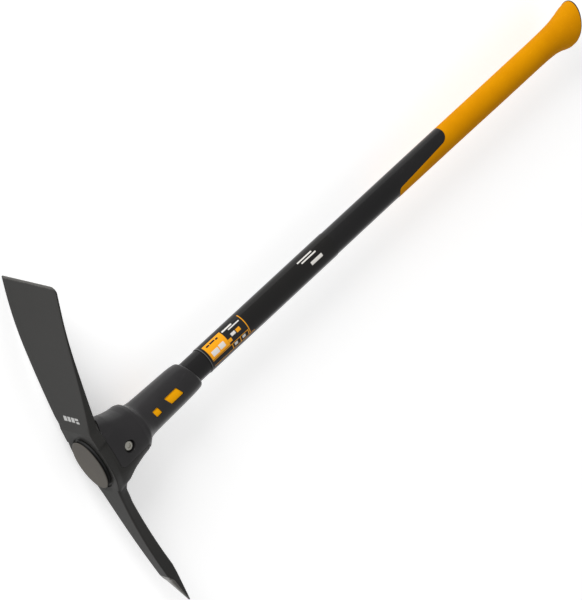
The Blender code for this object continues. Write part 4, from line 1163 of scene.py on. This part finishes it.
# Layers of the film's print: ink, softness and bars. A bar's row is its middle along the handle
# in millimetres and round it in degrees, then its half length and half width in the same units.
ORANGE, PALE, BLACK = (0.76, 0.31, 0.004, 1.0), (0.62, 0.60, 0.57, 1.0), (0.010, 0.010, 0.010, 1.0)
GREY = (0.10, 0.10, 0.10, 1.0)
FILM_PRINT = (
    (BLACK, 0.8, [(252.0, 38.0, 16.5, 38.0)]),
    (ORANGE, 0.8, [(219.8, 38.0, 15.7, 38.0)]),
    (BLACK, 0.6, [(211.0, 63.0, 2.6, 4.0), (219.0, 64.0, 4.2, 4.0), (226.5, 62.0, 2.0, 4.0)]),
    (PALE, 0.8, [(213.5, 22.0, 5.6, 12.0), (225.5, 24.0, 4.6, 12.0)]),
    (PALE, 0.8, [(246.0, 66.0, 8.5, 3.6), (255.0, 55.0, 9.5, 2.6), (247.0, 30.0, 3.6, 7.0)]),
    (ORANGE, 0.6, [(255.5, 28.0, 3.4, 8.5), (238.5, 16.0, 2.8, 8.0), (268.4, 26.0, 0.6, 52.0)]),
    (ORANGE, 0.7, [(236.0, -4.0, 32.0, 1.4), (240.0, -32.0, 36.0, 1.4)]),
    (ORANGE, 0.5, [(place, -18.0, 0.6, 14.0) for place in (238.0, 252.0, 266.0)]),
    (PALE, 0.8, [(244.0, -16.0, 2.6, 7.0), (258.0, -16.0, 2.6, 7.0)]),
    (GREY, 0.5, [(200.6, 60.0, 0.4, 180.0)]),
    (PALE, 0.7, [(399.0, 19.0, 10.0, 8.0)]),
    (PALE, 0.6, [(388.0, 62.0, 13.0, 3.0), (392.0, 49.0, 13.0, 3.0)]),
)

# Plain surfaces: name, two tones, roughness and its spread, the grain's scale and depth, then
# metallic, scuffs and specular where they differ from finish's
PLAIN = {
    "rubber": ("black_rubber", (0.010,) * 3, (0.008,) * 3, 0.68, 0.10, 700.0, 0.00006),
    "moulding": ("black_moulding", (0.0150, 0.0138, 0.0148), (0.0120, 0.0113, 0.0121),
                 0.32, 0.14, 1400.0, 0.00007, 0.0, 0.6, 0.35),
    "window": ("orange_insulation", (0.80, 0.350, 0.0010), (0.74, 0.315, 0.0010),
               0.45, 0.10, 900.0, 0.00004, 0.0, 0.2, 0.05),
    "screw": ("zinc_screw", (0.50, 0.49, 0.44), (0.40, 0.39, 0.35), 0.30, 0.14, 900.0, 0.00003, 1.0, 0.5),
    "shaft": ("satin_shaft", (0.0058, 0.0054, 0.0056), (0.0046, 0.0043, 0.0046),
              0.24, 0.12, 800.0, 0.00003, 0.0, 0.6, 0.30),
    "composite": ("glass_composite", (0.36, 0.34, 0.26), (0.28, 0.26, 0.20), 0.55, 0.20, 300.0, 0.00010),
    "foam": ("filling_foam", (0.52, 0.50, 0.44), (0.44, 0.42, 0.36), 0.85, 0.10, 450.0, 0.00030),
    "liner": ("liner_polymer", (0.060,) * 3, (0.048,) * 3, 0.50, 0.14, 900.0, 0.00004),
}
FINISHES = {"grey_cap": cap_finish()}
FINISHES.update((key, finish(*row)[0]) for key, row in PLAIN.items())
FINISHES.update({"head": head_finish(), "grip": grip_finish(), "film": film_finish()})

# ---------------------------------------------------------------- the object

for build, node, slot, key in (
    (head_forging, "head_forging", "forged_steel", "head"),
    (eye_cap, "eye_cap", "cap_grey", "grey_cap"),
    (cap_ring, "cap_ring", "black_rubber", "rubber"),
    (collar, "collar", "black_moulding", "moulding"),
    (insulation_sleeve, "insulation_sleeve", "orange_insulation", "window"),
    (collar_screw, "collar_screw", "bright_steel", "screw"),
    (shaft_tube, "shaft_tube", "shaft_black", "shaft"),
    (label_film, "label_film", "label_film", "film"),
    (grip, "grip", "orange_grip", "grip"),
    (butt_cap, "butt_cap", "black_rubber", "rubber"),
):
    placed(build(), node, slot, FINISHES[key])

# The other pieces keep the CAD part's mesh
for node, key in (
    ("handle_core", "composite"), ("eye_liner", "liner"), ("core_bush", "screw"),
    ("collar_nut", "screw"), ("core_foam", "foam"), ("butt_plug", "moulding"),
):
    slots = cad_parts[node].data.materials
    slots.clear()
    slots.append(FINISHES[key])

# ---------------------------------------------------------------- floor, light and camera

FLOOR_Z = -0.0534
FLOOR_HALF = 6.0
FLOOR_ALBEDO = 0.93
FLOOR_GLOW = 0.30                # the floor's own light, which keeps it pale to its edges
SURROUND = 0.56
KEY_SIZE, KEY_WATTS = 2.4, 150.0
STREAK_PLACE = (-0.72, 3.04, 0.58)
STREAK_SIZE, STREAK_WATTS = 0.6, 28.0
FOCAL_LENGTH = 197.7             # millimetres, on a sensor 36 wide

floor_mesh = bpy.data.meshes.new("floor")
corners = [(FLOOR_HALF * x, FLOOR_HALF * y, FLOOR_Z) for x, y in ((-1, -1), (1, -1), (1, 1), (-1, 1))]
floor_mesh.from_pydata(corners, [], [(0, 1, 2, 3)])
floor = linked("floor", floor_mesh)
paper = bpy.data.materials.new("pale_floor")
paper.use_nodes = True
paper_inputs = paper.node_tree.nodes["Principled BSDF"].inputs
paper_inputs["Base Color"].default_value = (FLOOR_ALBEDO, FLOOR_ALBEDO, FLOOR_ALBEDO, 1.0)
paper_inputs["Roughness"].default_value = 0.9
paper_inputs["Emission Color"].default_value = (1.0, 1.0, 1.0, 1.0)
paper_inputs["Emission Strength"].default_value = FLOOR_GLOW
floor_mesh.materials.append(paper)

# The camera's directions and place, and the point that the lights face
RIGHT = np.array([0.65552, -0.41352, 0.63190])
UP = np.array([0.61040, 0.78280, -0.12096])
BACK = np.array([-0.44463, 0.46500, 0.76556])
EYE = np.array([-1.44979, 1.85859, 3.09567])
AIM = np.array([0.36, 0.0, 0.0])


def standing(place, right, up, back):
    """The matrix of something at place with these three directions as its X, Y and Z axes."""
    rows = [[right[i], up[i], back[i], place[i]] for i in range(3)]
    return Matrix(rows + [[0.0, 0.0, 0.0, 1.0]])


camera_data = bpy.data.cameras.new("camera")
camera_data.sensor_width = 36.0
camera_data.lens = FOCAL_LENGTH
camera_data.clip_end = 100.0
camera = linked("camera", camera_data)
camera.matrix_world = standing(EYE, RIGHT, UP, BACK)
bpy.context.scene.camera = camera


def soft_light(name, place, size, watts):
    """A round area light that faces AIM."""
    data = bpy.data.lights.new(name, "AREA")
    data.shape = "DISK"
    data.size = size
    data.energy = watts
    back = place - AIM
    back /= np.linalg.norm(back)
    right = np.cross(UP, back)
    right /= np.linalg.norm(right)
    linked(name, data).matrix_world = standing(place, right, np.cross(back, right), back)


soft_light("key", AIM + 2.2 * UP - 1.3 * RIGHT + 4.3 * BACK, KEY_SIZE, KEY_WATTS)
soft_light("streak", AIM + np.array(STREAK_PLACE), STREAK_SIZE, STREAK_WATTS)

world = bpy.data.worlds.new("studio")
world.use_nodes = True
surround = world.node_tree.nodes["Background"].inputs
surround["Color"].default_value = (1.0, 1.0, 1.0, 1.0)
surround["Strength"].default_value = SURROUND
bpy.context.scene.world = world
bpy.context.scene.view_settings.view_transform = "Standard"
